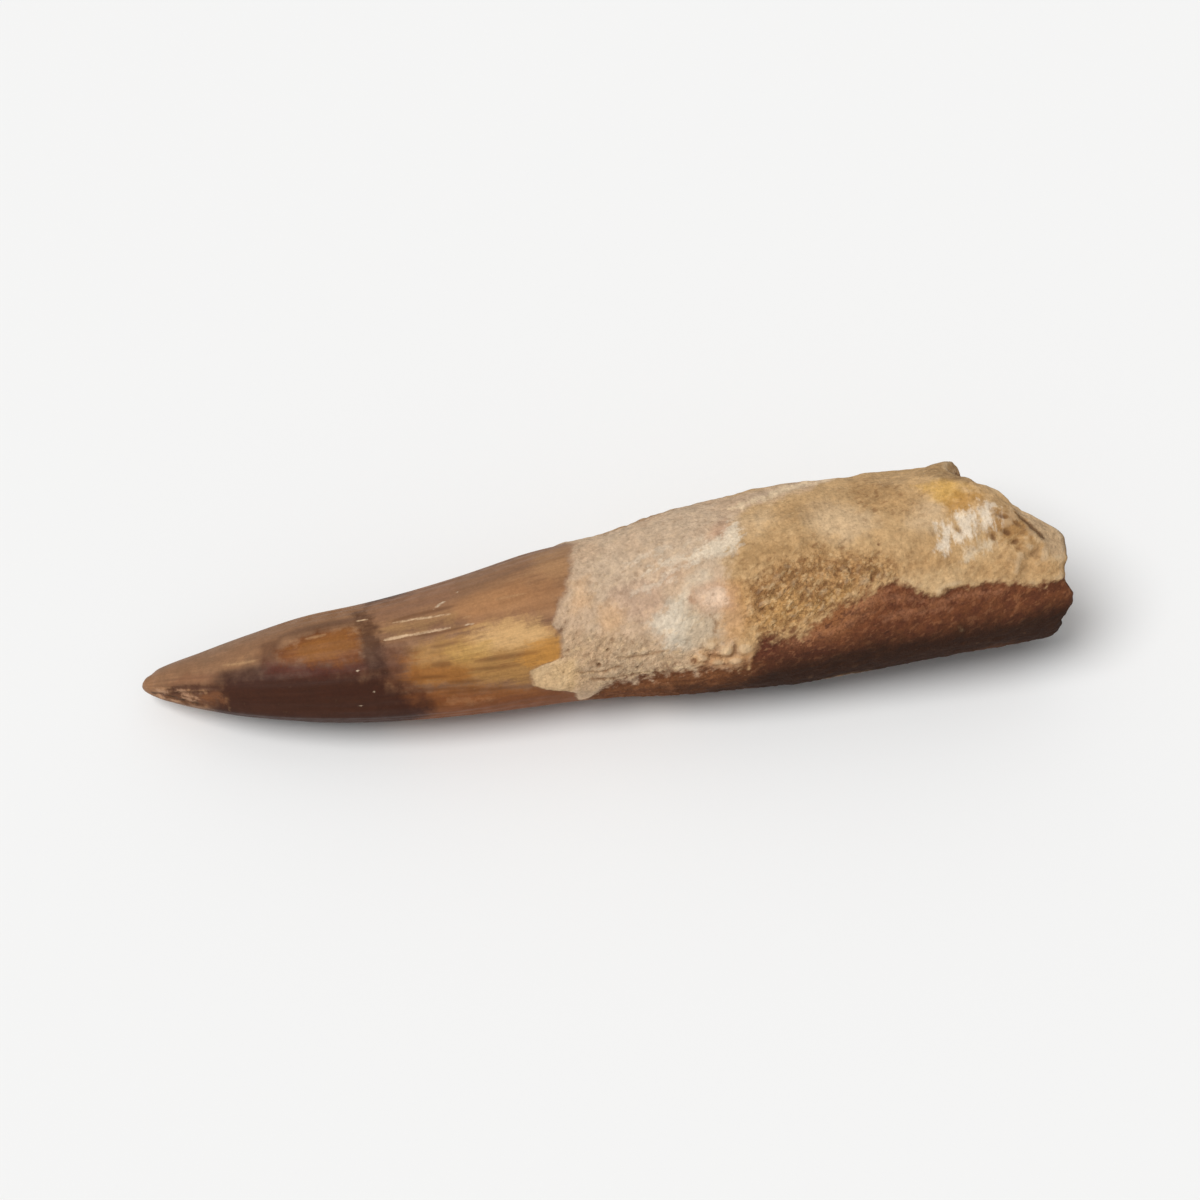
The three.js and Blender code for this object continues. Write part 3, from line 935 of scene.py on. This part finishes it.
def with_poles(field):
    """A field's values for every vertex of the mesh, the tip and the end's centre last."""
    return np.concatenate([field.ravel(), [field[0].mean()], [field[-1].mean()]])


def store(mesh, name, values):
    attribute = mesh.attributes.new(name, "FLOAT", "POINT")
    attribute.data.foreach_set("value", np.clip(values, -FARTHEST, FARTHEST).astype(np.float32))


def store_vector(mesh, name, vectors, at_tip, at_centre):
    values = np.concatenate([vectors.reshape(-1, 3), [at_tip], [at_centre]])
    attribute = mesh.attributes.new(name, "FLOAT_VECTOR", "POINT")
    attribute.data.foreach_set("vector", values.astype(np.float32).ravel())


def tooth():
    """The tooth, with the fields that its material reads: zones, and places to make noise on."""
    mesh = tooth_mesh()
    fields = {**ZONES, "crust": CRUST, "bare": BARE, "core": CORE, "hollows": HOLLOWS}
    fields["broken_face"] = (1 - SHARE) * half_width(X) - RIM_WIDTH
    # how far the broken face lies below its surroundings, for the material's painted shade
    fields["sunk"] = ON_END * (levelled(POINTS[..., 0], 4) - POINTS[..., 0])
    for name, field in fields.items():
        store(mesh, name, with_poles(field))
    start = (0, 0, 0)
    across, up = np.cos(ANGLE), np.sin(ANGLE)
    flow = np.stack([X, 10 * SHARE * across, 10 * SHARE * up], axis=-1)
    growth = np.stack([14 * SHARE, 2 * SHARE * across, 2 * SHARE * up], axis=-1)
    rays = np.stack([3 * SHARE, 12 * across, 12 * up], axis=-1)
    store_vector(mesh, "place", BASE, TIP[0], BASE[-1].mean(axis=0))
    store_vector(mesh, "flow", flow, start, (ROOT_END, 0, 0))
    store_vector(mesh, "growth", growth, start, start)
    store_vector(mesh, "rays", rays, start, start)
    piece = bpy.data.objects.new("tooth_surface", mesh)
    bpy.context.scene.collection.objects.link(piece)
    return piece


# ---------------------------------------------------------------- material

def colour(red, green, blue):
    """A colour given as 0 to 255 screen values."""
    linear = [c / 255 for c in (red, green, blue)]
    linear = [c / 12.92 if c <= 0.04045 else ((c + 0.055) / 1.055) ** 2.4 for c in linear]
    return (*linear, 1)


class Shader:
    """Short names for building a node tree."""

    def __init__(self, name):
        self.material = bpy.data.materials.new(name)
        self.material.use_nodes = True
        self.tree = self.material.node_tree
        self.surface = self.tree.nodes["Principled BSDF"]

    def node(self, kind, **inputs):
        made = self.tree.nodes.new(kind)
        for name, value in inputs.items():
            self.put(made.inputs[name.replace("_", " ")], value)
        return made

    def put(self, socket, value):
        if isinstance(value, bpy.types.NodeSocket):
            self.tree.links.new(value, socket)
        else:
            socket.default_value = value

    def field(self, name):
        made = self.tree.nodes.new("ShaderNodeAttribute")
        made.attribute_name = name
        return made.outputs["Fac"]

    def vector(self, name, scale=(1, 1, 1)):
        made = self.tree.nodes.new("ShaderNodeAttribute")
        made.attribute_name = name
        return self.vector_math("MULTIPLY", made.outputs["Vector"], scale).outputs["Vector"]

    def vector_math(self, operation, a, b):
        made = self.tree.nodes.new("ShaderNodeVectorMath")
        made.operation = operation
        self.put(made.inputs[0], a)
        self.put(made.inputs[1], b)
        return made

    def math(self, operation, a, b=0.0):
        made = self.tree.nodes.new("ShaderNodeMath")
        made.operation = operation
        self.put(made.inputs[0], a)
        self.put(made.inputs[1], b)
        return made.outputs[0]

    def times(self, *factors):
        product = factors[0]
        for factor in factors[1:]:
            product = self.math("MULTIPLY", product, factor)
        return product

    def plus(self, *terms):
        total = terms[0]
        for term in terms[1:]:
            total = self.math("ADD", total, term)
        return total

    def combed(self, name):
        """An attribute's vector, squeezed along the slant as in the relief."""
        place = self.vector(name)
        along = self.vector_math("DOT_PRODUCT", place, tuple(SLANT)).outputs["Value"]
        back = self.vector_math("MULTIPLY", self.times(along, COMBED), tuple(SLANT)).outputs["Vector"]
        return self.vector_math("SUBTRACT", place, back).outputs["Vector"]

    def noise(self, vector, scale, detail=3.0, rough=0.55):
        made = self.node("ShaderNodeTexNoise", Vector=vector, Scale=scale, Detail=detail, Roughness=rough)
        return made.outputs["Fac"]

    def cells(self, vector, scale, feature="F1"):
        made = self.tree.nodes.new("ShaderNodeTexVoronoi")
        made.feature = feature
        self.put(made.inputs["Vector"], vector)
        self.put(made.inputs["Scale"], scale)
        return made

    def random_of(self, cells):
        """A random number, 0 to 1, for each cell."""
        return self.node("ShaderNodeSeparateColor", Color=cells.outputs["Color"]).outputs[0]

    def ramp(self, value, low, high, start=0.0, end=1.0):
        """A smooth step from start, at low, to end, at high."""
        made = self.tree.nodes.new("ShaderNodeMapRange")
        made.interpolation_type = "SMOOTHSTEP"
        for name, number in {"From Min": low, "From Max": high, "To Min": start, "To Max": end}.items():
            made.inputs[name].default_value = number
        self.put(made.inputs["Value"], value)
        return made.outputs["Result"]

    def seam(self, noise, width):
        """Thin wandering lines, where a noise passes its middle."""
        return self.ramp(self.math("ABSOLUTE", self.math("SUBTRACT", noise, 0.5)), width, 0.0)

    def rag(self, noise, size):
        """A 0 to 1 noise as an edge shift of up to size mm either way."""
        return self.times(self.math("SUBTRACT", noise, 0.5), 2 * size)

    def zone(self, name, rag, soft=0.3):
        """A zone's mask, its edge moved by a shift in mm and soft over a width in mm."""
        return self.ramp(self.plus(self.field(name), rag), -soft, soft)

    def mix(self, share, a, b, blend="MIX"):
        made = self.tree.nodes.new("ShaderNodeMix")
        made.data_type = "RGBA"
        made.blend_type = blend
        self.put(made.inputs["Factor"], share)
        for name, value in {"A": a, "B": b}.items():
            socket = next(i for i in made.inputs if i.name == name and i.type == "RGBA")
            self.put(socket, value)
        return next(o for o in made.outputs if o.type == "RGBA")

    def shaded(self, tone, brightness):
        """A colour times a brightness, which is a grey number."""
        return self.mix(1.0, tone, brightness, "MULTIPLY")

    def toned(self, tone, *shades):
        """A colour whose brightness follows noises, each given as a ramp is."""
        for shade in shades:
            tone = self.shaded(tone, self.ramp(*shade))
        return tone

    def painted(self, tone, rags, coats):
        """A colour with coats of paint over it, each a (zone, rag, softness, strength, colour)."""
        for name, rag, soft, strength, rgb in coats:
            tone = self.mix(self.times(self.zone(name, rags[rag], soft), strength), tone, colour(*rgb))
        return tone


ENAMEL_COATS = [
    ("taupe", "cloudy", 2.2, 0.85, (134, 98, 70)),
    # painted sheen along the crown's top
    ("painted_top_sheen", "cloudy", 2.5, 0.35, (138, 110, 86)),
    ("top_mauve", "cloudy", 2.5, 0.40, (146, 104, 78)),
    ("warm_top", "cloudy", 2.5, 0.65, (176, 126, 82)),
    ("tan_edge", "mottled", 1.6, 0.45, (176, 134, 92)),
    ("brown_edge", "cloudy", 1.6, 0.35, (150, 104, 68)),
    ("back_amber", "streaky", 2.6, 0.85, (138, 88, 42)),
    ("back_gold", "streaky", 2.2, 0.70, (184, 138, 80)),
    ("back_dark", "mottled", 2.4, 0.88, (68, 40, 24)),
    ("back_lines", "thin", 0.5, 0.55, (84, 54, 34)),
    ("belly_red", "streaky", 1.6, 0.90, (122, 66, 22)),
    ("honey", "streaky", 1.6, 0.92, (166, 122, 68)),
    ("olive", "streaky", 1.0, 0.55, (160, 122, 78)),
    ("pale_tan", "streaky", 1.8, 0.85, (208, 166, 112)),
    ("golden", "streaky", 1.2, 0.60, (190, 148, 80)),
    ("ochre", "streaky", 0.9, 0.80, (186, 130, 60)),
    ("belly_orange", "streaky", 1.2, 0.55, (148, 92, 44)),
    ("belly_pale", "mottled", 0.7, 0.45, (166, 116, 76)),
    ("dark_red", "streaky", 1.6, 0.80, (92, 50, 28)),
    ("orange", "streaky", 1.5, 0.75, (144, 88, 34)),
    ("dark_band", "mottled", 1.1, 0.80, (72, 40, 20)),
    ("halo", "thin", 1.8, 0.75, (74, 44, 26)),
    ("chocolate", "mottled", 2.2, 0.97, (57, 24, 8)),
    ("left_red", "fine", 1.2, 0.65, (92, 56, 36)),
    ("under_amber", "fine", 1.6, 0.92, (82, 28, 6)),
    ("amber", "mottled", 0.9, 0.92, (112, 60, 20)),
    ("amber_gold", "streaky", 1.4, 0.38, (164, 110, 50)),
    ("above_amber", "thin", 0.7, 0.50, (84, 56, 40)),
    ("dark_lines", "thin", 0.35, 0.55, (98, 58, 28)),
    ("soft_streaks", "thin", 0.25, 0.50, (184, 144, 102)),
    ("streaks", "thin", 0.16, 0.80, (210, 178, 142)),
    ("back_scratches", "thin", 0.12, 0.60, (196, 164, 126)),
    # pale flecks, partly painted glints of light
    ("flecks_and_glints", "thin", 0.15, 0.75, (208, 186, 158)),
    ("tip_band", "mottled", 0.9, 0.55, (128, 84, 56)),
    ("tip_chip", "mottled", 0.8, 0.70, (142, 102, 70)),
    ("tip_break", "mottled", 0.6, 0.80, (88, 52, 30)),
    ("tip_orange", "mottled", 0.6, 0.60, (128, 80, 48)),
    ("tip_crack", "fine", 0.4, 0.80, (74, 42, 28)),
    ("tip_bits", "fine", 0.3, 0.75, (178, 136, 104)),
    ("tip_specks", "fine", 0.25, 0.75, (62, 46, 32)),
]

CRUST_COATS = [
    ("back_ochre", "broad", 2.2, 0.60, (190, 150, 96)),
    ("back_stain", "broad", 1.4, 0.60, (168, 126, 86)),
    ("back_coarse", "mottled", 1.4, 0.55, (160, 118, 76)),
    ("back_pale", "combed", 1.4, 0.70, (222, 202, 174)),
    ("mauve", "cloudy", 1.6, 0.50, (188, 152, 128)),
    ("sand", "cloudy", 1.8, 0.92, (194, 157, 110)),
    ("orange_sand", "mottled", 1.2, 0.60, (198, 148, 94)),
    ("peach", "mottled", 1.1, 0.55, (214, 170, 126)),
    ("pitted", "mottled", 1.8, 0.40, (190, 154, 112)),
    ("lobe", "mottled", 1.4, 0.75, (216, 180, 132)),
    ("light_mid", "cloudy", 2.0, 0.60, (218, 188, 150)),
    ("brown_mid", "cloudy", 1.8, 0.40, (166, 126, 80)),
    ("cream", "mottled", 1.6, 0.40, (208, 178, 136)),
    ("low_brown", "combed", 2.0, 0.55, (164, 124, 80)),
    ("hatched", "combed", 2.2, 0.40, (168, 130, 86)),
    ("coarse", "cloudy", 2.6, 0.75, (176, 130, 80)),
    ("coarse_dark", "combed", 1.6, 0.50, (136, 92, 50)),
    ("ochre_mid", "mottled", 1.2, 0.55, (190, 144, 86)),
    ("white", "combed", 1.3, 0.80, (220, 206, 184)),
    ("white_arm", "mottled", 1.0, 0.60, (222, 204, 178)),
    ("white_right", "combed", 1.6, 0.50, (200, 182, 154)),
    ("pink_round", "mottled", 1.2, 0.50, (196, 150, 118)),
    ("pink_spot", "mottled", 1.0, 0.85, (230, 200, 172)),
    ("crescent", "fine", 0.5, 0.60, (156, 108, 80)),
    ("red_mark", "mottled", 1.4, 0.40, (184, 132, 104)),
    ("white_streak", "combed", 0.8, 0.85, (230, 212, 186)),
    ("thin_streak", "combed", 0.6, 0.55, (222, 200, 172)),
    ("wisps", "combed", 0.6, 0.50, (224, 206, 182)),
    ("top_streak", "brushed", 0.9, 0.80, (228, 202, 166)),
    ("yellow", "mottled", 1.3, 0.80, (220, 172, 92)),
    ("ochre_knob", "mottled", 1.0, 0.70, (184, 134, 66)),
    ("shadow", "mottled", 1.5, 0.50, (126, 98, 66)),
    ("brown_rim", "combed", 1.4, 0.75, (160, 116, 66)),
    ("chalk", "brushed", 0.8, 0.80, (230, 214, 192)),
    ("chalk_low", "brushed", 0.8, 0.60, (218, 200, 172)),
    ("low_lines", "thin", 0.3, 0.60, (218, 192, 150)),
    ("rust_low", "mottled", 1.4, 0.70, (186, 128, 82)),
    ("bumps", "mottled", 0.8, 0.60, (214, 176, 130)),
    ("gap_lines", "fine", 0.35, 0.60, (140, 98, 60)),
    ("lip", "mottled", 0.8, 0.85, (198, 168, 132)),
    ("crack", "fine", 0.3, 0.75, (98, 70, 44)),
]

BARE_COATS = [
    ("strip", "mottled", 1.0, 0.75, (108, 66, 38)),
    ("strip_pale", "thin", 0.6, 0.45, (150, 100, 62)),
    ("rough_brown", "combed", 2.0, 0.85, (150, 98, 60)),
    ("dark_red_root", "mottled", 1.5, 0.60, (84, 44, 32)),
    ("dust", "combed", 0.8, 0.45, (168, 116, 84)),
]

BELLY_COATS = [
    # painted shadow: near-black over the underside
    ("painted_belly_shadow", "cloudy", 3.0, 0.88, (40, 23, 13)),
    ("belly_worn", "broad", 3.0, 0.60, (100, 64, 42)),
    ("belly_sand", "combed", 2.0, 0.60, (182, 146, 108)),
]


class FossilShader(Shader):
    """The fossil's node tree, with the noises, ragged edges and coarse sand that its parts share."""

    def __init__(self):
        super().__init__("fossil_surface")
        self.place = self.vector("place")
        self.mottle = self.noise(self.place, 0.55, 5, 0.6)
        self.patchy = self.noise(self.place, 0.16, 3)
        self.speckle = self.noise(self.place, 2.4, 3, 0.65)
        self.streak = self.noise(self.vector("flow", (0.09, 1, 1)), 0.55, 4, 0.6)
        self.hair = self.noise(self.vector("flow", (0.12, 1, 1)), 2.0, 4, 0.7)
        self.brushed = self.noise(self.vector("place", (1.0, 0.3, 0.3)), 1.1, 3, 0.6)
        self.scratch = self.noise(self.combed("place"), 1.3, 2, 0.6)
        self.rags = {
            name: self.plus(*[self.rag(noise, size) for noise, size in layers])
            for name, layers in self.rag_layers().items()
        }
        self.coarse = self.coarse_sand()
        self.grain_cells = self.cells(self.place, 2.3)
        self.grain = self.random_of(self.grain_cells)

    def rag_layers(self):
        """What the edge of each kind of coat wanders by: noises, and how far in mm."""
        mottle, patchy, speckle = self.mottle, self.patchy, self.speckle
        return {
            "mottled": [(mottle, 2.2), (speckle, 0.5)],
            "cloudy": [(mottle, 2.2), (patchy, 3.5)],
            "broad": [(mottle, 1.6), (patchy, 3.0), (speckle, 0.6)],
            "streaky": [(self.streak, 2.4), (self.hair, 1.2), (mottle, 1.8), (speckle, 0.5)],
            "thin": [(self.hair, 0.30), (speckle, 0.15)],
            "fine": [(mottle, 0.6), (speckle, 0.5)],
            "brushed": [(self.brushed, 2.2), (mottle, 1.2), (speckle, 0.7)],
            "combed": [(self.scratch, 2.2), (mottle, 1.2), (speckle, 0.5)],
        }

    def coarse_sand(self):
        """Where the sand is coarse, and less so where it is only pitted or on the far side."""
        pitted = self.times(self.zone("pitted", self.rags["mottled"], 2.0), 0.4)
        far = self.times(self.zone("back_coarse", self.rags["cloudy"], 2.0), 0.6)
        coarse = self.zone("coarse", self.rags["cloudy"], 2.8)
        return self.math("MAXIMUM", self.math("MAXIMUM", coarse, pitted), far)

    def with_coarse(self, mask, least, more):
        """A mask at strength least, and stronger by more where the sand is coarse."""
        return self.times(mask, self.plus(least, self.times(self.coarse, more)))


def enamel_colour(s):
    """The crown: streaked brown under its coats, with fine hairs of shade along it."""
    tone = s.mix(s.ramp(s.streak, 0.35, 0.65), colour(122, 86, 60), colour(158, 116, 80))
    tone = s.painted(tone, s.rags, ENAMEL_COATS)
    window = s.zone("honey", s.rags["cloudy"], 3.0)
    tone = s.shaded(tone, s.plus(1.0, s.times(s.rag(s.hair, 0.5), s.plus(0.35, s.times(window, 0.65)))))
    tone = s.toned(tone, (s.mottle, 0.25, 0.75, 1.08, 0.90), (s.speckle, 0.25, 0.75, 0.90, 1.08))
    return s.mix(s.times(s.ramp(s.hair, 0.56, 0.68), window, 0.40), tone, colour(104, 66, 36))


def crust_colour(s):
    """The sandy crust: its coats, then grains, scratches, gaps and holes, most where it is coarse."""
    tone = s.mix(s.ramp(s.patchy, 0.35, 0.65), colour(192, 163, 134), colour(202, 176, 148))
    tone = s.painted(tone, s.rags, CRUST_COATS)
    tone = s.toned(
        tone,
        (s.patchy, 0.3, 0.7, 1.05, 0.94),
        (s.mottle, 0.25, 0.75, 1.10, 0.87),
        (s.noise(s.place, 1.1, 2), 0.3, 0.7, 1.05, 0.94),
        (s.speckle, 0.2, 0.8, 0.90, 1.08),
    )
    depth = s.plus(0.05, s.times(s.coarse, 0.20))
    tone = s.shaded(tone, s.plus(1.0, s.times(s.math("SUBTRACT", s.grain, 0.5), depth, 2.0)))
    tone = s.toned(tone, (s.brushed, 0.25, 0.75, 0.93, 1.06))
    hatched = s.zone("hatched", s.rags["cloudy"], 2.5)
    cut = s.plus(0.12, s.times(s.coarse, 0.45), s.times(hatched, 0.30))
    tone = s.mix(s.times(s.ramp(s.scratch, 0.54, 0.66), cut), tone, colour(122, 80, 46))
    worn = s.with_coarse(s.ramp(s.scratch, 0.44, 0.34), 0.10, 0.25)
    tone = s.mix(worn, tone, colour(230, 196, 146))
    gaps = s.with_coarse(s.ramp(s.grain_cells.outputs["Distance"], 0.45, 0.8), 0.04, 0.22)
    tone = s.mix(gaps, tone, colour(116, 78, 46))
    holes = s.ramp(s.noise(s.place, 1.15, 3, 0.6), 0.60, 0.70)
    tone = s.mix(s.times(holes, s.coarse, 0.35), tone, colour(108, 70, 40))
    tone = s.mix(s.times(s.ramp(s.grain, 0.05, 0.02), 0.16), tone, colour(128, 88, 54))
    return s.mix(s.with_coarse(s.ramp(s.grain, 0.90, 0.98), 0.08, 0.16), tone, colour(230, 200, 154))


def bare_colour(s):
    """The bare dentine: dark, scratched and dusty, a painted shadow underneath, a little sand on it."""
    tone = s.mix(s.ramp(s.mottle, 0.3, 0.7), colour(90, 50, 32), colour(118, 70, 42))
    tone = s.painted(tone, s.rags, BARE_COATS)
    tone = s.toned(tone, (s.speckle, 0.2, 0.8, 0.80, 1.20), (s.grain, 0.0, 1.0, 0.92, 1.08))
    dusty = s.plus(0.22, s.times(s.zone("rough_brown", s.rags["combed"], 2.5), 0.4))
    tone = s.mix(s.times(s.ramp(s.scratch, 0.54, 0.66), dusty), tone, colour(70, 36, 24))
    tone = s.mix(s.times(s.ramp(s.scratch, 0.45, 0.36), dusty), tone, colour(180, 124, 84))
    return s.painted(tone, s.rags, BELLY_COATS)


def face_colour(s):
    """The broken end: cracked dentine round a core of reddish sand, with painted shade where it is sunk."""
    dentine = s.mix(s.ramp(s.mottle, 0.3, 0.7), colour(192, 160, 122), colour(156, 120, 84))
    layers = s.noise(s.vector("growth"), 1.1, 3, 0.6)
    dentine = s.toned(dentine, (layers, 0.3, 0.7, 0.88, 1.06))
    dentine = s.mix(s.ramp(s.patchy, 0.48, 0.62, 0, 0.7), dentine, colour(132, 90, 58))
    pale = s.ramp(s.noise(s.place, 0.3, 4, 0.6), 0.52, 0.62, 0, 0.5)
    dentine = s.mix(pale, dentine, colour(206, 178, 140))
    cracks = s.seam(s.noise(s.vector("rays"), 0.4, 2, 0.5), 0.03)
    cracks = s.times(cracks, s.ramp(s.patchy, 0.50, 0.60))
    pores = s.times(s.ramp(s.noise(s.place, 1.4, 2), 0.62, 0.70), 0.8)
    dentine = s.mix(s.times(s.math("MAXIMUM", cracks, pores), 0.6), dentine, colour(90, 60, 40))
    sand = s.mix(s.ramp(s.mottle, 0.3, 0.7), colour(150, 98, 64), colour(190, 142, 98))
    sand = s.mix(s.ramp(s.speckle, 0.60, 0.70, 0, 0.6), sand, colour(218, 184, 140))
    sand = s.mix(s.ramp(s.speckle, 0.40, 0.32, 0, 0.5), sand, colour(112, 68, 44))
    edge = s.plus(s.field("core"), s.rag(s.mottle, 2.4), s.rag(s.speckle, 0.8))
    tone = s.mix(s.ramp(edge, -0.3, 0.3), dentine, sand)
    gap = s.times(s.ramp(edge, -0.8, -0.1), s.ramp(edge, 0.5, 0.0), s.ramp(s.patchy, 0.46, 0.58))
    tone = s.mix(s.times(gap, 0.6), tone, colour(76, 50, 34))
    tone = s.toned(tone, (s.speckle, 0.25, 0.75, 0.86, 1.12))
    # painted shade: the face is coloured darker where it is sunk below its surroundings
    low = s.ramp(s.field("sunk"), 0.1, 0.9)
    return s.mix(s.times(low, 0.5), tone, colour(92, 62, 42))


def fine_height(s, crusted):
    """Relief too fine for the mesh, in mm: grit and pitting on the crust, faint hairs on the enamel."""
    grit = s.plus(s.times(s.speckle, 0.16), s.times(s.scratch, -0.20))
    grit = s.plus(grit, s.times(s.grain_cells.outputs["Distance"], -0.06))
    pitting = s.times(s.plus(s.times(s.scratch, -0.35), s.times(s.speckle, 0.25)), s.coarse)
    grit = s.times(s.plus(grit, pitting), crusted)
    return s.plus(grit, s.times(s.hair, 0.035), s.times(s.speckle, 0.01))


def fossil_material():
    """Enamel, bare dentine, the crust over them, painted shade in hollows, holes, and the broken end."""
    s = FossilShader()
    crusted = s.zone("crust", s.plus(s.rag(s.mottle, 0.8), s.rag(s.speckle, 0.2)), 0.5)
    naked = s.zone("bare", s.plus(s.rag(s.mottle, 1.2), s.rag(s.scratch, 0.8)), 0.6)
    cover = s.times(crusted, s.math("SUBTRACT", 1.0, naked))
    uncovered = s.math("SUBTRACT", crusted, cover)
    tone = s.mix(crusted, enamel_colour(s), bare_colour(s))
    tone = s.mix(cover, tone, crust_colour(s))

    # painted shade in the hollows of the crust and of the bare dentine, painted light on the crust's tops
    low = s.ramp(s.field("hollows"), 0.02, 0.34)
    high = s.ramp(s.field("hollows"), -0.02, -0.25)
    tone = s.mix(s.times(low, cover, 0.45), tone, colour(104, 70, 44))
    tone = s.shaded(tone, s.plus(1.0, s.times(low, uncovered, -0.35)))
    tone = s.mix(s.times(high, cover, 0.20), tone, colour(232, 212, 180))
    specks = s.zone("specks", s.rag(s.speckle, 0.5), 0.25)
    dug = s.math("MAXIMUM", specks, s.zone("rim_pits", s.rag(s.speckle, 0.6), 0.3))
    tone = s.mix(s.times(dug, 0.60), tone, colour(104, 70, 44))
    on_face = s.ramp(s.plus(s.field("broken_face"), s.rag(s.mottle, 0.6)), -0.2, 0.3)
    s.put(s.surface.inputs["Base Color"], s.mix(on_face, tone, face_colour(s)))

    glossy = s.ramp(s.mottle, 0.3, 0.7, 0.50, 0.62)
    s.put(s.surface.inputs["Roughness"], s.math("MINIMUM", s.plus(glossy, s.times(crusted, 0.5)), 0.95))
    s.surface.inputs["Specular IOR Level"].default_value = 0.2
    bump = s.node("ShaderNodeBump", Strength=1.0, Distance=MM, Height=fine_height(s, crusted))
    s.put(s.surface.inputs["Normal"], bump.outputs["Normal"])
    return s.material


# ---------------------------------------------------------------- stage

def floor():
    reach = 60.0  # metres each way
    mesh = bpy.data.meshes.new("floor")
    corners = [(-reach, -reach, 0), (reach, -reach, 0), (reach, reach, 0), (-reach, reach, 0)]
    mesh.from_pydata(corners, [], [(0, 1, 2, 3)])
    piece = bpy.data.objects.new("floor", mesh)
    bpy.context.scene.collection.objects.link(piece)
    s = Shader("floor_paper")
    s.surface.inputs["Base Color"].default_value = (0.86, 0.86, 0.855, 1)
    s.surface.inputs["Roughness"].default_value = 0.9
    mesh.materials.append(s.material)


def lights():
    soft_sun = bpy.data.lights.new("key", "SUN")
    soft_sun.energy = 2.2
    soft_sun.angle = 0.6  # radians, wide enough for soft shadows
    key = bpy.data.objects.new("key", soft_sun)
    key.rotation_euler = (-Vector((-0.45, -0.20, 0.9))).to_track_quat("-Z", "Y").to_euler()
    bpy.context.scene.collection.objects.link(key)
    world = bpy.data.worlds.new("studio")
    world.use_nodes = True
    world.node_tree.nodes["Background"].inputs["Color"].default_value = (1, 1, 1, 1)
    world.node_tree.nodes["Background"].inputs["Strength"].default_value = 0.45
    bpy.context.scene.world = world


def camera():
    azimuth, elevation = math.radians(-7), math.radians(55)
    lens, sensor = 85, 36
    shown = 0.184  # metres of the scene across the frame
    distance = shown * lens / sensor
    low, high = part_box("tooth")
    target = Vector((0, 0, (low.z + high.z) / 2))
    back = Vector(
        (
            math.sin(azimuth) * math.cos(elevation),
            -math.cos(azimuth) * math.cos(elevation),
            math.sin(elevation),
        )
    )
    data = bpy.data.cameras.new("camera")
    data.lens = lens
    data.sensor_width = sensor
    piece = bpy.data.objects.new("camera", data)
    piece.location = target + back * distance
    piece.rotation_euler = (-back).to_track_quat("-Z", "Y").to_euler()
    bpy.context.scene.collection.objects.link(piece)
    bpy.context.scene.camera = piece


camera()
lights()
floor()
surface = tooth()
surface.data.materials.append(fossil_material())
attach(surface, "root")
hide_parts("tooth")
bpy.context.scene.view_settings.view_transform = "Standard"
